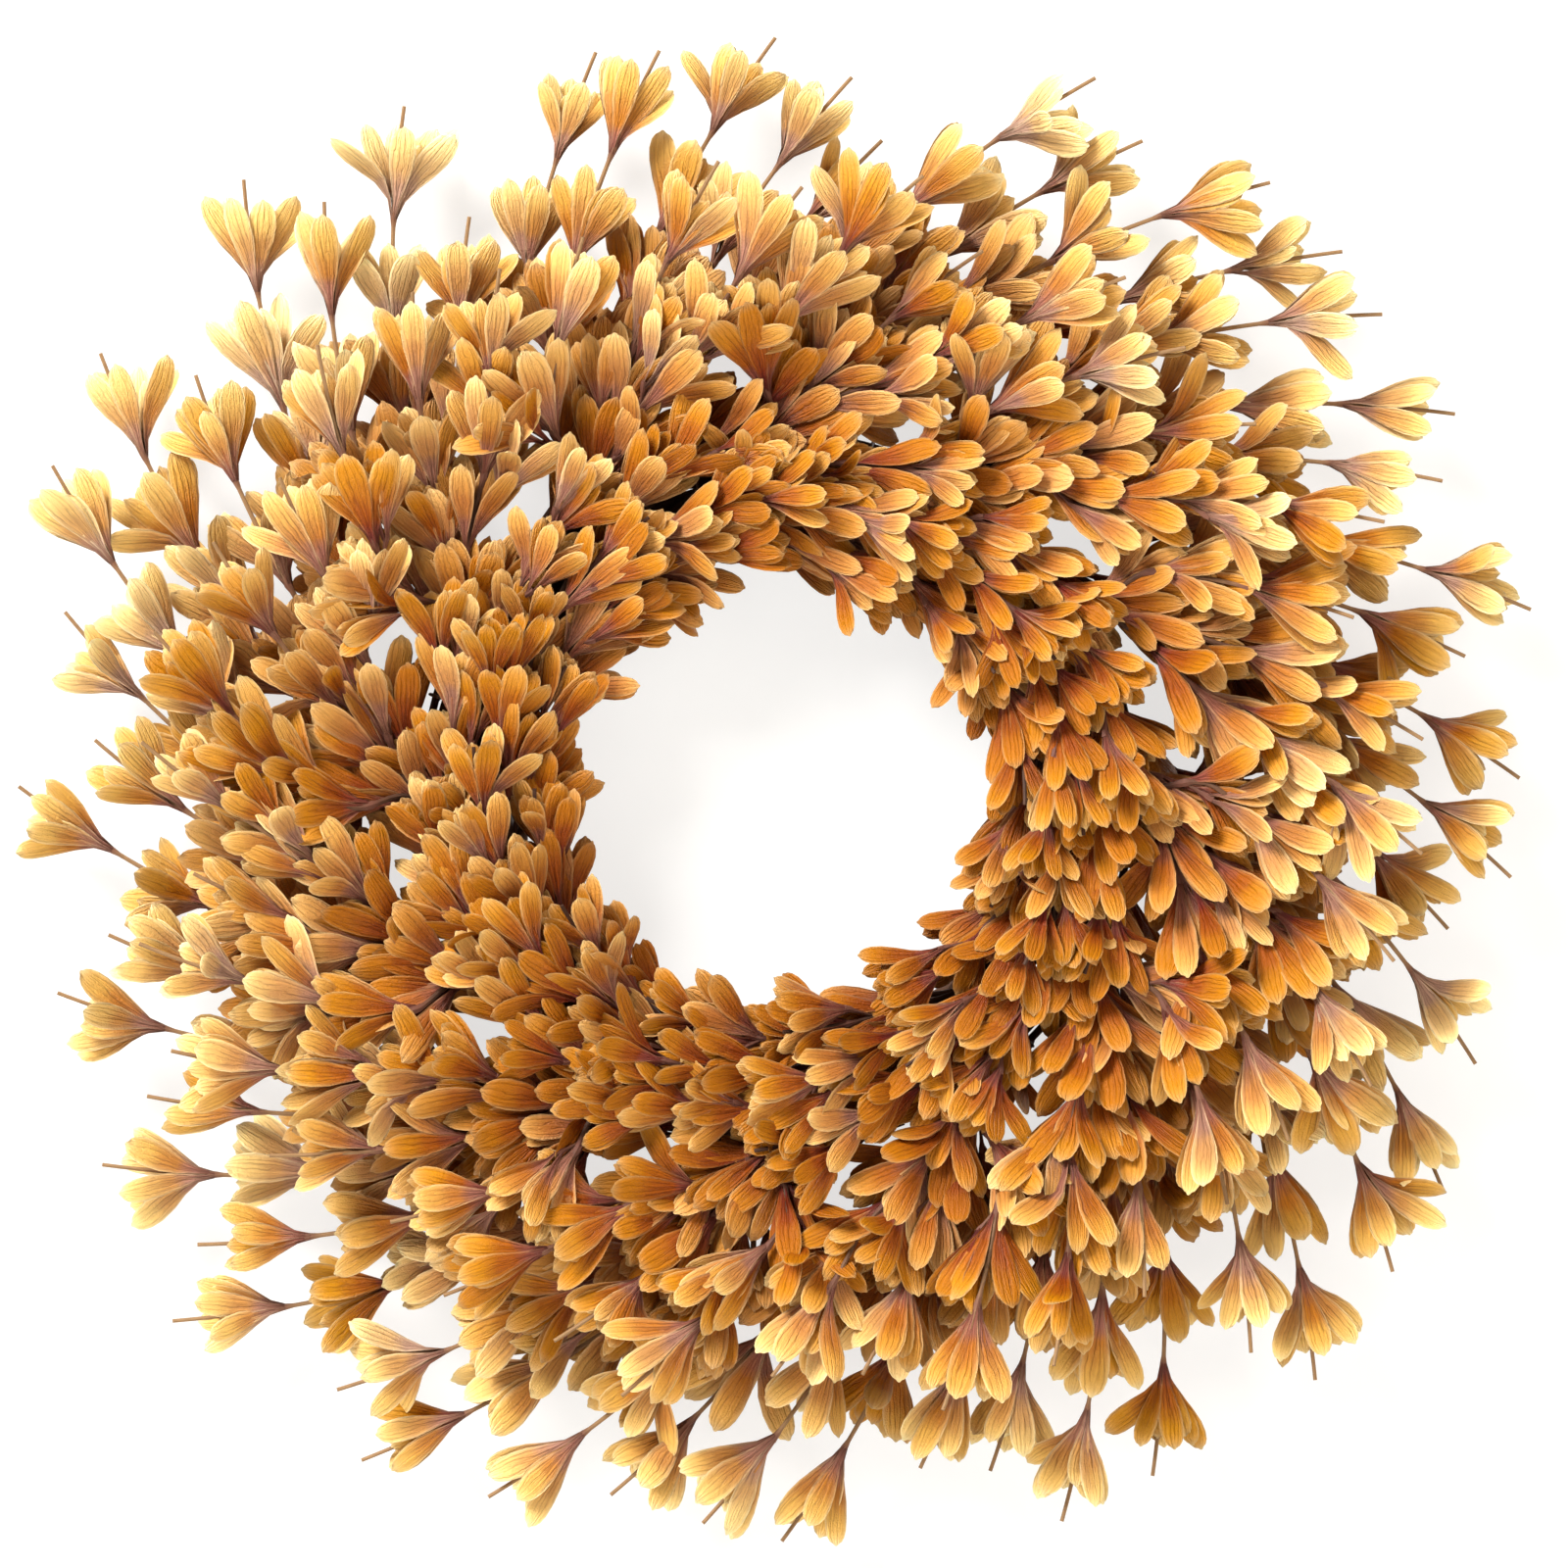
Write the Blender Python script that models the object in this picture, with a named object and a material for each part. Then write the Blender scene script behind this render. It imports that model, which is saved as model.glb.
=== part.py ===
"""Harvest door wreath: branched picks of funnel-shaped florets, tied in a pinwheel to a vine ring.

The wreath hangs in the XZ plane and faces -Y. The origin is where a nail bears in the top of
the hanging loop. Azimuths turn counter-clockwise from +X as seen from the front, and every
pick sweeps out clockwise. A point of the bundle of vines is also given by its offset from the
core vine and its side: side 0 faces outwards, 90 the front, 180 the hole and 270 the door.
"""

import math

import bmesh
import bpy
import numpy as np
from mathutils import Vector

MM = 0.001

# Vine ring: a core vine with others wound round it, each one turn of the ring long.
RING_RADIUS = 112 * MM  # ring's centre to the core vine's centre line
CORE_VINE_RADIUS = 4.5 * MM
WRAP_VINE_RADIUS = 5 * MM
CORE_CLEARANCE = 1.2 * MM  # core vine to the hanging loop's eye, which passes under a wound vine
WRAP_VINES = 5
WRAP_TURNS = 3  # times that a wound vine goes round the core
VINE_END_GAP = 9 * MM  # between a vine's own two ends
FIRST_VINE_END = 200  # degrees of azimuth where the first wound vine ends
CORE_VINE_END = 20  # degrees

# Picks and their ties
STATIONS = 12  # ties round the ring, each holding one pick of each kind
FIRST_STATION = 75  # degrees of azimuth
GAP = 0.35 * MM  # between pieces that lie against each other
STEM_RADIUS = 1.5 * MM
TWIG_RADIUS = 1.15 * MM
TIP_RADIUS = 0.75 * MM
BUTT_LENGTH = 13 * MM  # stem behind its tie
HELD_LENGTH = 6 * MM  # stem in front of its tie that still follows the ring
TIE_WIRE_RADIUS = 0.6 * MM
TIE_PITCH = 2.2 * MM
TIE_TURNS = 1.2
TIE_TAIL = 6 * MM

# Florets: funnels threaded on the stems, each as wide as the room between stems lets it be
FLORET_LENGTH = 29 * MM  # from its base to its mouth
MOUTH_DEPTH = 0.6 * MM  # a mouth closes to the stem over this length
MOUTH_GAP = 1.2 * MM  # least distance from a mouth to the next floret's base
BARE_TIP = 13 * MM  # stem showing past the last floret's mouth
WIDEST_FLORET = 10.5 * MM
ROOM_SHARE = 0.43  # of the distance to the next stem, for a floret's radius
PITCH_RATIO = 0.8  # florets stand closer by this much, one after the other, towards the ring

# Outer picks: four twigs each, in one flat layer
OUTER_TWIGS = (-1, 0, 1, 2)  # places in the fan, counter-clockwise from the main stem
OUTER_REACH = 279 * MM  # ring's centre to a twig's tip
# What each twig's reach differs by, in millimetres, clockwise from the one that ends at the top
OUTER_TRIM = (
    1, -14, -34, 9, -2, 10, 11, 5, 9, -8, 9, -20,
    -3, -6, -24, -2, 11, 10, 18, -7, 12, 11, -13, -22,
    1, -6, -9, 4, 15, -3, 21, -6, 9, -19, 0, -25,
    4, -25, -5, 15, 21, -14, 23, -4, 11, -38, 4, -2,
)
TOP_TWIG = 8  # how many twigs clockwise of the top the first station's main stem ends
OUTER_SIDE = 0  # degrees, where the stem is tied on the bundle
OUTER_SPLIT = 5 * MM  # from leaving the ring to the first fork
OUTER_FORK_STEP = 8 * MM
OUTER_SPREAD_LENGTH = 42 * MM  # over which a twig reaches its place in the fan
OUTER_PITCHES = (44 * MM, 24 * MM)  # between florets at a twig's tip, and least
OUTER_CLEAR = (48 * MM, 20 * MM)  # bare length of the main stem and of the other twigs
OUTER_STAGGER = 6.5 * MM  # twigs lie this far in front of and behind the layer's middle
OUTER_LIFT = 9 * MM  # forward rise at the tips

# Front picks: three twigs each, rising towards the viewer over the outer picks
FRONT_TWIGS = (-1, 0, 1)
FRONT_REACH = 226 * MM
FRONT_REACH_SPREAD = 16 * MM
FRONT_SIDE = 58
FRONT_SPLIT = 4 * MM
FRONT_FORK_STEP = 6 * MM
FRONT_SPREAD_LENGTH = 34 * MM
FRONT_PITCHES = (36 * MM, 22 * MM)
FRONT_CLEAR = (28 * MM, 10 * MM)
FRONT_STAGGER = 5 * MM
FRONT_RISE = 0.34  # forward per unit outward

# Inner picks: four short twigs each, which run along the ring and cover it
INNER_SIDE = 125
INNER_TWIG_SIDES = (166, 140, 108, 76)
INNER_TWIG_LENGTHS = (54 * MM, 90 * MM, 100 * MM, 92 * MM)
INNER_TWIG_CLIMBS = (0.5, 1, 1, 1)  # shares of the rise that carries a twig over the next pick
INNER_PITCHES = (23 * MM, 21 * MM)
INNER_CLEAR = (36 * MM, 15 * MM)
INNER_BARE_TIP = 6 * MM
INNER_FLORET_LENGTH = 20 * MM
INNER_FLORET_RADIUS = 5.6 * MM
INNER_LAYER_GAP = 1.7 * MM  # between a pick's florets and those of the pick that it climbs over
INNER_TURN_LENGTH = 34 * MM  # over which a twig reaches its own side of the bundle
INNER_DRIFT = 0.25  # degrees that a twig then turns to the front per millimetre

# Sweep of the outer and front picks
SWEEP_ANGLE = math.radians(37)  # between a stem and the way straight out
TAKE_OFF_TURN = 0.17  # radians of azimuth that a stem uses in leaving the ring
TAKE_OFF_LENGTH = 6 * MM  # outward distance over which it does so
SWAY = math.radians(1.1)  # chance difference in azimuth between twigs
BOB = 1.6 * MM  # chance difference in depth between twigs

# Hanging loop: a wire eye round the rearmost vine at the top, with a bail that stands up behind
LOOP_WIRE_RADIUS = 0.8 * MM
LOOP_RISE = 45 * MM  # eye's centre to the nail
LOOP_HALF_WIDTH = 12 * MM
LOOP_NECK = 0.3  # share of that width that the bail takes up where it leaves the eye
EYE_PLAY = 1 * MM

VINE_CLEARANCE = 2 * LOOP_WIRE_RADIUS + EYE_PLAY + CORE_CLEARANCE
WRAP_OFFSET = CORE_VINE_RADIUS + VINE_CLEARANCE + WRAP_VINE_RADIUS
BUNDLE_RADIUS = WRAP_OFFSET + WRAP_VINE_RADIUS
STEM_OFFSET = BUNDLE_RADIUS + GAP + STEM_RADIUS
TIE_OFFSET = STEM_OFFSET + STEM_RADIUS + GAP + TIE_WIRE_RADIUS
VINE_LEAN = math.atan(WRAP_TURNS * WRAP_OFFSET / RING_RADIUS)
EYE_RADIUS = WRAP_VINE_RADIUS / math.cos(VINE_LEAN) + EYE_PLAY + LOOP_WIRE_RADIUS
LOOP_AXIS = Vector((0, -EYE_RADIUS, -LOOP_RISE))  # a point on the line that the loop turns about
STATION_PITCH = 2 * math.pi * RING_RADIUS / STATIONS
INNER_RISE = (2 * INNER_FLORET_RADIUS + INNER_LAYER_GAP) / STATION_PITCH  # per unit along the ring
RING_CENTRE = LOOP_AXIS + Vector((0, -WRAP_OFFSET, -RING_RADIUS))

# Fineness of the model
VINE_STEPS = 32
TIE_STEPS = 11  # each turn
PATH_STEPS = 160
MAIN_STEM_POINTS = 8  # between a main stem's butt and its first floret
TWIG_POINTS = 3  # between a fork and the first floret
LOOP_STEPS = 24
EYE_STEPS = 20


def chance(*keys):
    """A number from -1 to 1 that looks random and depends only on the keys."""
    total = sum(key * weight for key, weight in zip(keys, (12.9898, 78.233, 37.719)))
    scrambled = math.sin(total) * 43758.5453
    return 2 * (scrambled - math.floor(scrambled)) - 1


def smooth(share):
    """Rises from 0 to 1 with level ends."""
    share = np.clip(share, 0, 1)
    return share * share * (3 - 2 * share)


def ring_points(radius, azimuth, forward):
    """Points round the ring's centre, at these radii, azimuths in radians and distances in front of it."""
    radius, azimuth, forward = np.broadcast_arrays(radius, azimuth, forward)
    return np.stack([radius * np.cos(azimuth), -forward, radius * np.sin(azimuth)], axis=-1)


def bundle_points(offset, side, azimuth):
    """Points this far from the core vine's centre line, on this side of it, in radians."""
    return ring_points(RING_RADIUS + offset * np.cos(side), azimuth, offset * np.sin(side))


def material(name, colour, roughness, metallic=0.0):
    made = bpy.data.materials.new(name)
    made.use_nodes = True
    shader = made.node_tree.nodes["Principled BSDF"]
    shader.inputs["Base Color"].default_value = (*colour, 1)
    shader.inputs["Roughness"].default_value = roughness
    shader.inputs["Metallic"].default_value = metallic
    made.diffuse_color = (*colour, 1)
    return made


def tube(name, points, radii, resolution=1, cyclic=False):
    """A curve object that carries a round section of these radii along the points."""
    radii = np.broadcast_to(radii, len(points))
    curve = bpy.data.curves.new(name, "CURVE")
    curve.dimensions = "3D"
    curve.bevel_depth = float(radii.max())
    curve.bevel_resolution = resolution
    curve.use_fill_caps = not cyclic
    spline = curve.splines.new("POLY")
    spline.points.add(len(points) - 1)
    for place, point, radius in zip(spline.points, points, radii):
        place.co = (*point, 1)
        place.radius = radius / curve.bevel_depth
    spline.use_cyclic_u = cyclic
    made = bpy.data.objects.new(name, curve)
    bpy.context.scene.collection.objects.link(made)
    return made


def as_mesh(source):
    """Turns a curve object into a mesh object of the same name, with its caps welded on."""
    graph = bpy.context.evaluated_depsgraph_get()
    mesh = bpy.data.meshes.new_from_object(source.evaluated_get(graph))
    welded = bmesh.new()
    welded.from_mesh(mesh)
    bmesh.ops.remove_doubles(welded, verts=welded.verts, dist=0.01 * MM)
    bmesh.ops.recalc_face_normals(welded, faces=welded.faces)
    welded.to_mesh(mesh)
    welded.free()
    name = source.name
    bpy.data.objects.remove(source)
    made = bpy.data.objects.new(name, mesh)
    bpy.context.scene.collection.objects.link(made)
    return made


def joined(first, *others):
    """Unites the other mesh objects with the first one and removes them."""
    for other in others:
        union = first.modifiers.new("join_" + other.name, "BOOLEAN")
        union.operation = "UNION"
        union.solver = "EXACT"
        union.object = other
    bpy.context.view_layer.update()
    graph = bpy.context.evaluated_depsgraph_get()
    mesh = bpy.data.meshes.new_from_object(first.evaluated_get(graph))
    first.modifiers.clear()
    first.data = mesh
    for other in others:
        bpy.data.objects.remove(other)
    return first


def finish(piece, finish_material, collection, parent=None):
    """Files the piece in its collection, with its material, on its parent."""
    bpy.context.scene.collection.objects.unlink(piece)
    collection.objects.link(piece)
    piece.parent = parent
    piece.data.materials.clear()
    piece.data.materials.append(finish_material)
    piece.data.shade_smooth()
    piece.data.set_sharp_from_angle(angle=math.radians(50))


def arc_lengths(path):
    """Distance along the path of each of its points."""
    return np.concatenate([[0], np.cumsum(np.linalg.norm(np.diff(path, axis=0), axis=1))])


def along(path, distance):
    """The points at these distances along the path."""
    lengths = arc_lengths(path)
    return np.stack([np.interp(distance, lengths, path[:, axis]) for axis in range(3)], axis=-1)


def floret_bases(last, clear, pitches):
    """Distances along a twig of its florets' bases, from the clear stretch to the last one."""
    pitch, least = pitches
    bases = [last]
    while bases[0] - pitch > clear:
        bases.insert(0, bases[0] - pitch)
        pitch = max(pitch * PITCH_RATIO, least)
    return bases


def twig(name, path, is_main, clear, pitches, floret_length, bare_tip, floret_radius):
    """A twig with its florets as one tube, whose radius swells to each floret's mouth.

    clear holds the bare lengths of main stems and other twigs, pitches the florets' spacing at
    the tip and the least one. floret_radius gives a mouth's radius from the point where it is.
    """
    length = arc_lengths(path)[-1]
    bases = floret_bases(length - bare_tip - floret_length, clear[0 if is_main else 1], pitches)
    count = MAIN_STEM_POINTS if is_main else TWIG_POINTS
    places = list(np.linspace(0, bases[0], count, endpoint=False))
    radii = [STEM_RADIUS if is_main else TWIG_RADIUS] * count
    for base, following in zip(bases, bases[1:] + [length]):
        mouth = min(base + floret_length, following - MOUTH_GAP)
        places += [base, mouth, mouth + MOUTH_DEPTH]
        radii += [TWIG_RADIUS, floret_radius(along(path, mouth)), TWIG_RADIUS]
    places.append(length)
    radii.append(TIP_RADIUS)
    return as_mesh(tube(name, along(path, np.array(places)), np.array(radii), resolution=0))


def sweep(radius, start_radius):
    """Radians that a stem has turned clockwise on its way out from start_radius."""
    spiral = math.tan(SWEEP_ANGLE) * np.log(radius / start_radius)
    take_off = TAKE_OFF_TURN * (1 - np.exp(-(radius - start_radius) / TAKE_OFF_LENGTH))
    return spiral + take_off


def fan_path(station_azimuth, side, reach, fork, spread_length, turn, rise, main_depth, depth):
    """The path of one twig of a fan, from its fork, or from its butt where fork is None.

    turn is its azimuth in the fan, rise a function of the outward distance from the ring, and
    depth how far in front of the fan's middle it lies, as main_depth is for the main stem.
    """
    start_radius = RING_RADIUS + STEM_OFFSET * math.cos(side)
    start_forward = STEM_OFFSET * math.sin(side)
    leave = station_azimuth - HELD_LENGTH / start_radius
    first = start_radius if fork is None else start_radius + fork
    share = np.linspace(0, 1, PATH_STEPS)
    radius = first + (reach - first) * share**1.6
    spread = 0 if fork is None else smooth((radius - first) / spread_length)
    azimuth = leave - sweep(radius, start_radius) + turn * spread
    main_forward = main_depth * smooth((radius - start_radius) / spread_length)
    forward = main_forward + (depth - main_forward) * spread
    forward = forward + start_forward + rise(radius - start_radius)
    path = ring_points(radius, azimuth, forward)
    if fork is None:
        held = np.linspace(station_azimuth + BUTT_LENGTH / start_radius, leave, 8, endpoint=False)
        path = np.concatenate([ring_points(start_radius, held, start_forward), path])
    return path


def room_at(twigs_round, stagger):
    """A function giving a floret's radius at a point, from the distance to the next stem there."""

    def radius(point):
        out = math.hypot(point[0], point[2])
        apart = out * 2 * math.pi / twigs_round * math.cos(SWEEP_ANGLE)
        return min(WIDEST_FLORET, ROOM_SHARE * math.hypot(apart, 2 * stagger))

    return radius


def outer_pick(number):
    """A flat fan of four long twigs, tied to the outside of the ring."""
    station = math.radians(FIRST_STATION - number * 360 / STATIONS)
    step = 2 * math.pi / (STATIONS * len(OUTER_TWIGS))
    room = room_at(STATIONS * len(OUTER_TWIGS), OUTER_STAGGER)
    twigs = []
    for order, place in enumerate(sorted(OUTER_TWIGS, key=abs)):
        trim = OUTER_TRIM[(TOP_TWIG + len(OUTER_TWIGS) * number - place) % len(OUTER_TRIM)]
        reach = OUTER_REACH + trim * MM
        fork = None if place == 0 else OUTER_SPLIT + OUTER_FORK_STEP * (len(OUTER_TWIGS) - 1 - order)
        turn = place * step + (SWAY * chance(number, place, 1) if place else 0)
        depth = OUTER_STAGGER * (1 if place % 2 else -1) + (BOB * chance(number, place, 2) if place else 0)
        path = fan_path(
            station, math.radians(OUTER_SIDE), reach, fork, OUTER_SPREAD_LENGTH, turn,
            lambda out: OUTER_LIFT * (out / (OUTER_REACH - RING_RADIUS)) ** 2, -OUTER_STAGGER, depth,
        )
        name = f"outer_pick_{number + 1:02d}" + ("" if place == 0 else f"_twig_{order}")
        twigs.append(
            twig(name, path, place == 0, OUTER_CLEAR, OUTER_PITCHES, FLORET_LENGTH, BARE_TIP, room)
        )
    return joined(*twigs)


def front_pick(number):
    """A fan of three twigs that rises from the front of the ring over the outer picks."""
    station = math.radians(FIRST_STATION - number * 360 / STATIONS)
    step = 2 * math.pi / (STATIONS * len(FRONT_TWIGS))
    room = room_at(STATIONS * len(FRONT_TWIGS), FRONT_STAGGER)
    twigs = []
    for order, place in enumerate(sorted(FRONT_TWIGS, key=abs)):
        reach = FRONT_REACH + FRONT_REACH_SPREAD * chance(number, place, 3)
        fork = None if place == 0 else FRONT_SPLIT + FRONT_FORK_STEP * (len(FRONT_TWIGS) - 1 - order)
        turn = place * step + (SWAY * chance(number, place, 4) if place else 0)
        depth = FRONT_STAGGER * (1 if place else -1) + (BOB * chance(number, place, 5) if place else 0)
        path = fan_path(
            station, math.radians(FRONT_SIDE), reach, fork, FRONT_SPREAD_LENGTH, turn,
            lambda out: FRONT_RISE * out, -FRONT_STAGGER, depth,
        )
        name = f"front_pick_{number + 1:02d}" + ("" if place == 0 else f"_twig_{order}")
        twigs.append(
            twig(name, path, place == 0, FRONT_CLEAR, FRONT_PITCHES, FLORET_LENGTH, BARE_TIP, room)
        )
    return joined(*twigs)


def inner_path(station, side, length, climb, from_butt):
    """A twig's path along the ring: it turns to its own side of the bundle, then climbs forward."""
    run = np.linspace(-BUTT_LENGTH if from_butt else 0, length, PATH_STEPS)
    turned = INNER_SIDE + (side - INNER_SIDE) * smooth(run / INNER_TURN_LENGTH)
    turned = turned - INNER_DRIFT * np.clip(run - INNER_TURN_LENGTH, 0, None) / MM
    offset = STEM_OFFSET + climb * INNER_RISE * np.clip(run - HELD_LENGTH, 0, None)
    return bundle_points(offset, np.radians(turned), station - run / RING_RADIUS)


def inner_pick(number):
    """Four short twigs that run along the hole's edge and over the ring's front."""
    station = math.radians(FIRST_STATION - number * 360 / STATIONS)
    main = 2  # the twig that goes on from the butt
    twigs = []
    for place in sorted(range(len(INNER_TWIG_SIDES)), key=lambda index: index != main):
        side = INNER_TWIG_SIDES[place] + 2 * chance(number, place, 6)
        length = INNER_TWIG_LENGTHS[place] * (1 + 0.06 * chance(number, place, 7))
        path = inner_path(station, side, length, INNER_TWIG_CLIMBS[place], place == main)
        name = f"inner_pick_{number + 1:02d}" + ("" if place == main else f"_twig_{place}")
        twigs.append(
            twig(
                name, path, place == main, INNER_CLEAR, INNER_PITCHES, INNER_FLORET_LENGTH,
                INNER_BARE_TIP, lambda point: INNER_FLORET_RADIUS,
            )
        )
    return joined(*twigs)


def open_turn(end, gap_radius):
    """Azimuths once round the ring clockwise, leaving the gap between a vine's ends."""
    gap = VINE_END_GAP / gap_radius / 2
    return np.linspace(end - gap, end - 2 * math.pi + gap, VINE_STEPS)


def core_vine():
    azimuth = open_turn(math.radians(CORE_VINE_END), RING_RADIUS)
    return as_mesh(tube("vine_core", bundle_points(0, 0, azimuth), CORE_VINE_RADIUS))


def wound_vine(number):
    """A vine that winds round the core. The first one passes behind it at the very top."""
    azimuth = open_turn(math.radians(FIRST_VINE_END + 360 / WRAP_VINES * number), RING_RADIUS)
    first_side = 3 * math.pi / 2 - WRAP_TURNS * math.pi / 2
    side = first_side + 2 * math.pi / WRAP_VINES * number + WRAP_TURNS * azimuth
    points = bundle_points(WRAP_OFFSET, side, azimuth)
    return as_mesh(tube(f"vine_{number + 1}", points, WRAP_VINE_RADIUS))


def tie(number):
    """A wire coil round the bundle and the stems on it, with its ends turned out at the back."""
    station = math.radians(FIRST_STATION - number * 360 / STATIONS)
    turned = np.linspace(0, TIE_TURNS, int(TIE_STEPS * TIE_TURNS))
    side = 2 * math.pi * (turned - TIE_TURNS / 2) + math.pi / 2
    offset = np.full(len(side), TIE_OFFSET / math.cos(math.pi / TIE_STEPS))
    offset[[0, -1]] += TIE_TAIL / 2
    drift = TIE_PITCH * (turned - TIE_TURNS / 2) / RING_RADIUS
    points = bundle_points(offset, side, station + drift)
    return as_mesh(tube(f"tie_wire_{number + 1:02d}", points, TIE_WIRE_RADIUS, resolution=0))


def hanging_loop():
    """A wire eye round the rearmost vine at the top, joined to a teardrop bail that turns with it."""
    turned = np.linspace(0, 2 * math.pi, LOOP_STEPS, endpoint=False)
    risen = (1 - np.cos(turned)) / 2
    across = LOOP_HALF_WIDTH * np.sin(turned) * (LOOP_NECK + (1 - LOOP_NECK) * risen)
    up = (LOOP_RISE + LOOP_WIRE_RADIUS) * risen
    points = np.stack([across, np.full_like(across, EYE_RADIUS), up], axis=-1)
    bail = as_mesh(tube("hanging_loop", points, LOOP_WIRE_RADIUS, cyclic=True))
    bpy.ops.mesh.primitive_torus_add(
        major_radius=EYE_RADIUS, minor_radius=LOOP_WIRE_RADIUS,
        major_segments=EYE_STEPS, minor_segments=6, rotation=(0, math.pi / 2, 0),
    )
    loop = joined(bail, bpy.context.active_object)
    loop.location = LOOP_AXIS
    return loop


def main():
    for old in list(bpy.data.objects):
        bpy.data.objects.remove(old)
    wreath = bpy.data.collections.new("harvest_door_wreath")
    bpy.context.scene.collection.children.link(wreath)
    centre = bpy.data.objects.new("ring_centre", None)
    wreath.objects.link(centre)
    centre.location = RING_CENTRE
    bark = material("vine_bark", (0.10, 0.055, 0.03), 0.85)
    tie_metal = material("tie_wire", (0.16, 0.11, 0.07), 0.45, 0.8)
    loop_metal = material("loop_wire", (0.35, 0.30, 0.24), 0.38, 1.0)
    golden = material("petal_gold", (0.62, 0.33, 0.07), 0.6)
    amber = material("petal_amber", (0.50, 0.24, 0.05), 0.6)
    finish(core_vine(), bark, wreath, centre)
    for number in range(WRAP_VINES):
        finish(wound_vine(number), bark, wreath, centre)
    for number in range(STATIONS):
        finish(outer_pick(number), golden, wreath, centre)
        finish(front_pick(number), golden, wreath, centre)
        finish(inner_pick(number), amber, wreath, centre)
        finish(tie(number), tie_metal, wreath, centre)
    finish(hanging_loop(), loop_metal, wreath)


main()
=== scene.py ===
"""Looks of the harvest door wreath: florets on branched picks, tied to a ring of wound vines.

The wreath hangs in the XZ plane and faces -Y, with the origin where a nail bears in the top of
its hanging loop. Azimuths turn counter-clockwise from +X as seen from the front. A place on the
bundle of vines is given by its offset from the core vine and its side: side 0 faces outwards,
90 the front, 180 the hole and 270 the door.
"""

import math

import bpy
import numpy as np
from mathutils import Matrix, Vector


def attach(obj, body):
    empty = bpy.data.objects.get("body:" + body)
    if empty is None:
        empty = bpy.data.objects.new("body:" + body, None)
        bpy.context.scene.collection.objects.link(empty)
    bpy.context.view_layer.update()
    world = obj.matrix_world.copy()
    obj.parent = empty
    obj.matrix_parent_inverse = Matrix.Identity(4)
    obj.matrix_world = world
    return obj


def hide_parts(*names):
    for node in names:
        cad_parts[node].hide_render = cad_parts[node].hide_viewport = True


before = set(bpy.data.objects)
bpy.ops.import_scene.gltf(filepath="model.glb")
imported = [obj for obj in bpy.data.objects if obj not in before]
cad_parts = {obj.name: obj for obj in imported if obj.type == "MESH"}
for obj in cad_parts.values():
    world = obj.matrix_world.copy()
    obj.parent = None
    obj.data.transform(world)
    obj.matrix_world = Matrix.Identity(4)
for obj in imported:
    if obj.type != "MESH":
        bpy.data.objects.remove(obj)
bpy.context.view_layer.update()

MM = 0.001
TAU = 2 * math.pi

# Ring, stations and picks, as the solid model has them
RING_RADIUS = 112 * MM
CORE_RADIUS = 4.5 * MM
VINE_RADIUS = 5 * MM
VINE_CLEARANCE = 3.8 * MM  # core vine to a wound one, where the loop's eye passes
WRAP_OFFSET = CORE_RADIUS + VINE_CLEARANCE + VINE_RADIUS
WRAP_TURNS = 3
WRAP_VINES = 5
VINE_END_GAP = 9 * MM
BOUND_GAP = 0.35 * MM  # between pieces that are bound together
STEM_RADIUS = 1.5 * MM
TWIG_RADIUS = 1.15 * MM
TIP_RADIUS = 0.75 * MM
STEM_OFFSET = WRAP_OFFSET + VINE_RADIUS + BOUND_GAP + STEM_RADIUS
TIE_RADIUS = 0.6 * MM
TIE_OFFSET = STEM_OFFSET + STEM_RADIUS + BOUND_GAP + TIE_RADIUS
LOOP_RISE = 45 * MM
LOOP_HALF_WIDTH = 12 * MM
LOOP_NECK = 0.3  # share of that width that the bail has where it leaves the eye
LOOP_WIRE = 0.8 * MM
NECK_TURNS = 3.4
NECK_COIL = (2.6 * MM, 8.2 * MM)  # the coil's ends, above the foot of the bail
EYE_PLAY = 1 * MM
VINE_LEAN = math.atan(WRAP_TURNS * WRAP_OFFSET / RING_RADIUS)
EYE_RADIUS = VINE_RADIUS / math.cos(VINE_LEAN) + EYE_PLAY + LOOP_WIRE
RING_CENTRE = np.array([0, -EYE_RADIUS - WRAP_OFFSET, -LOOP_RISE - RING_RADIUS])
STATIONS = 12
FIRST_STATION = 75  # degrees of azimuth
BUTT_LENGTH = 13 * MM  # a stem behind its tie
HELD_LENGTH = 6 * MM  # a stem past its tie, still along the ring
PITCH_RATIO = 0.8  # florets stand closer by this much, one after the other, towards the ring
SWEEP_ANGLE = math.radians(37)  # a twig's lean from straight outwards
TAKE_OFF_TURN = 0.17  # radians that a twig runs on round the ring as it leaves
TAKE_OFF_LENGTH = 6 * MM
SWAY = math.radians(1.1)
BOB = 1.6 * MM
PATH_STEPS = 160
FLORET_LENGTH = 29 * MM
INNER_FLORET_LENGTH = 20 * MM
INNER_FLORET_RADIUS = 5.6 * MM
INNER_LAYER_GAP = 1.7 * MM
BARE_TIP = 13 * MM  # stem past the last floret
INNER_BARE_TIP = 6 * MM

OUTER_TWIGS = 4
OUTER_REACH = 279 * MM
OUTER_STAGGER = 6.5 * MM
OUTER_LIFT = 9 * MM
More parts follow.
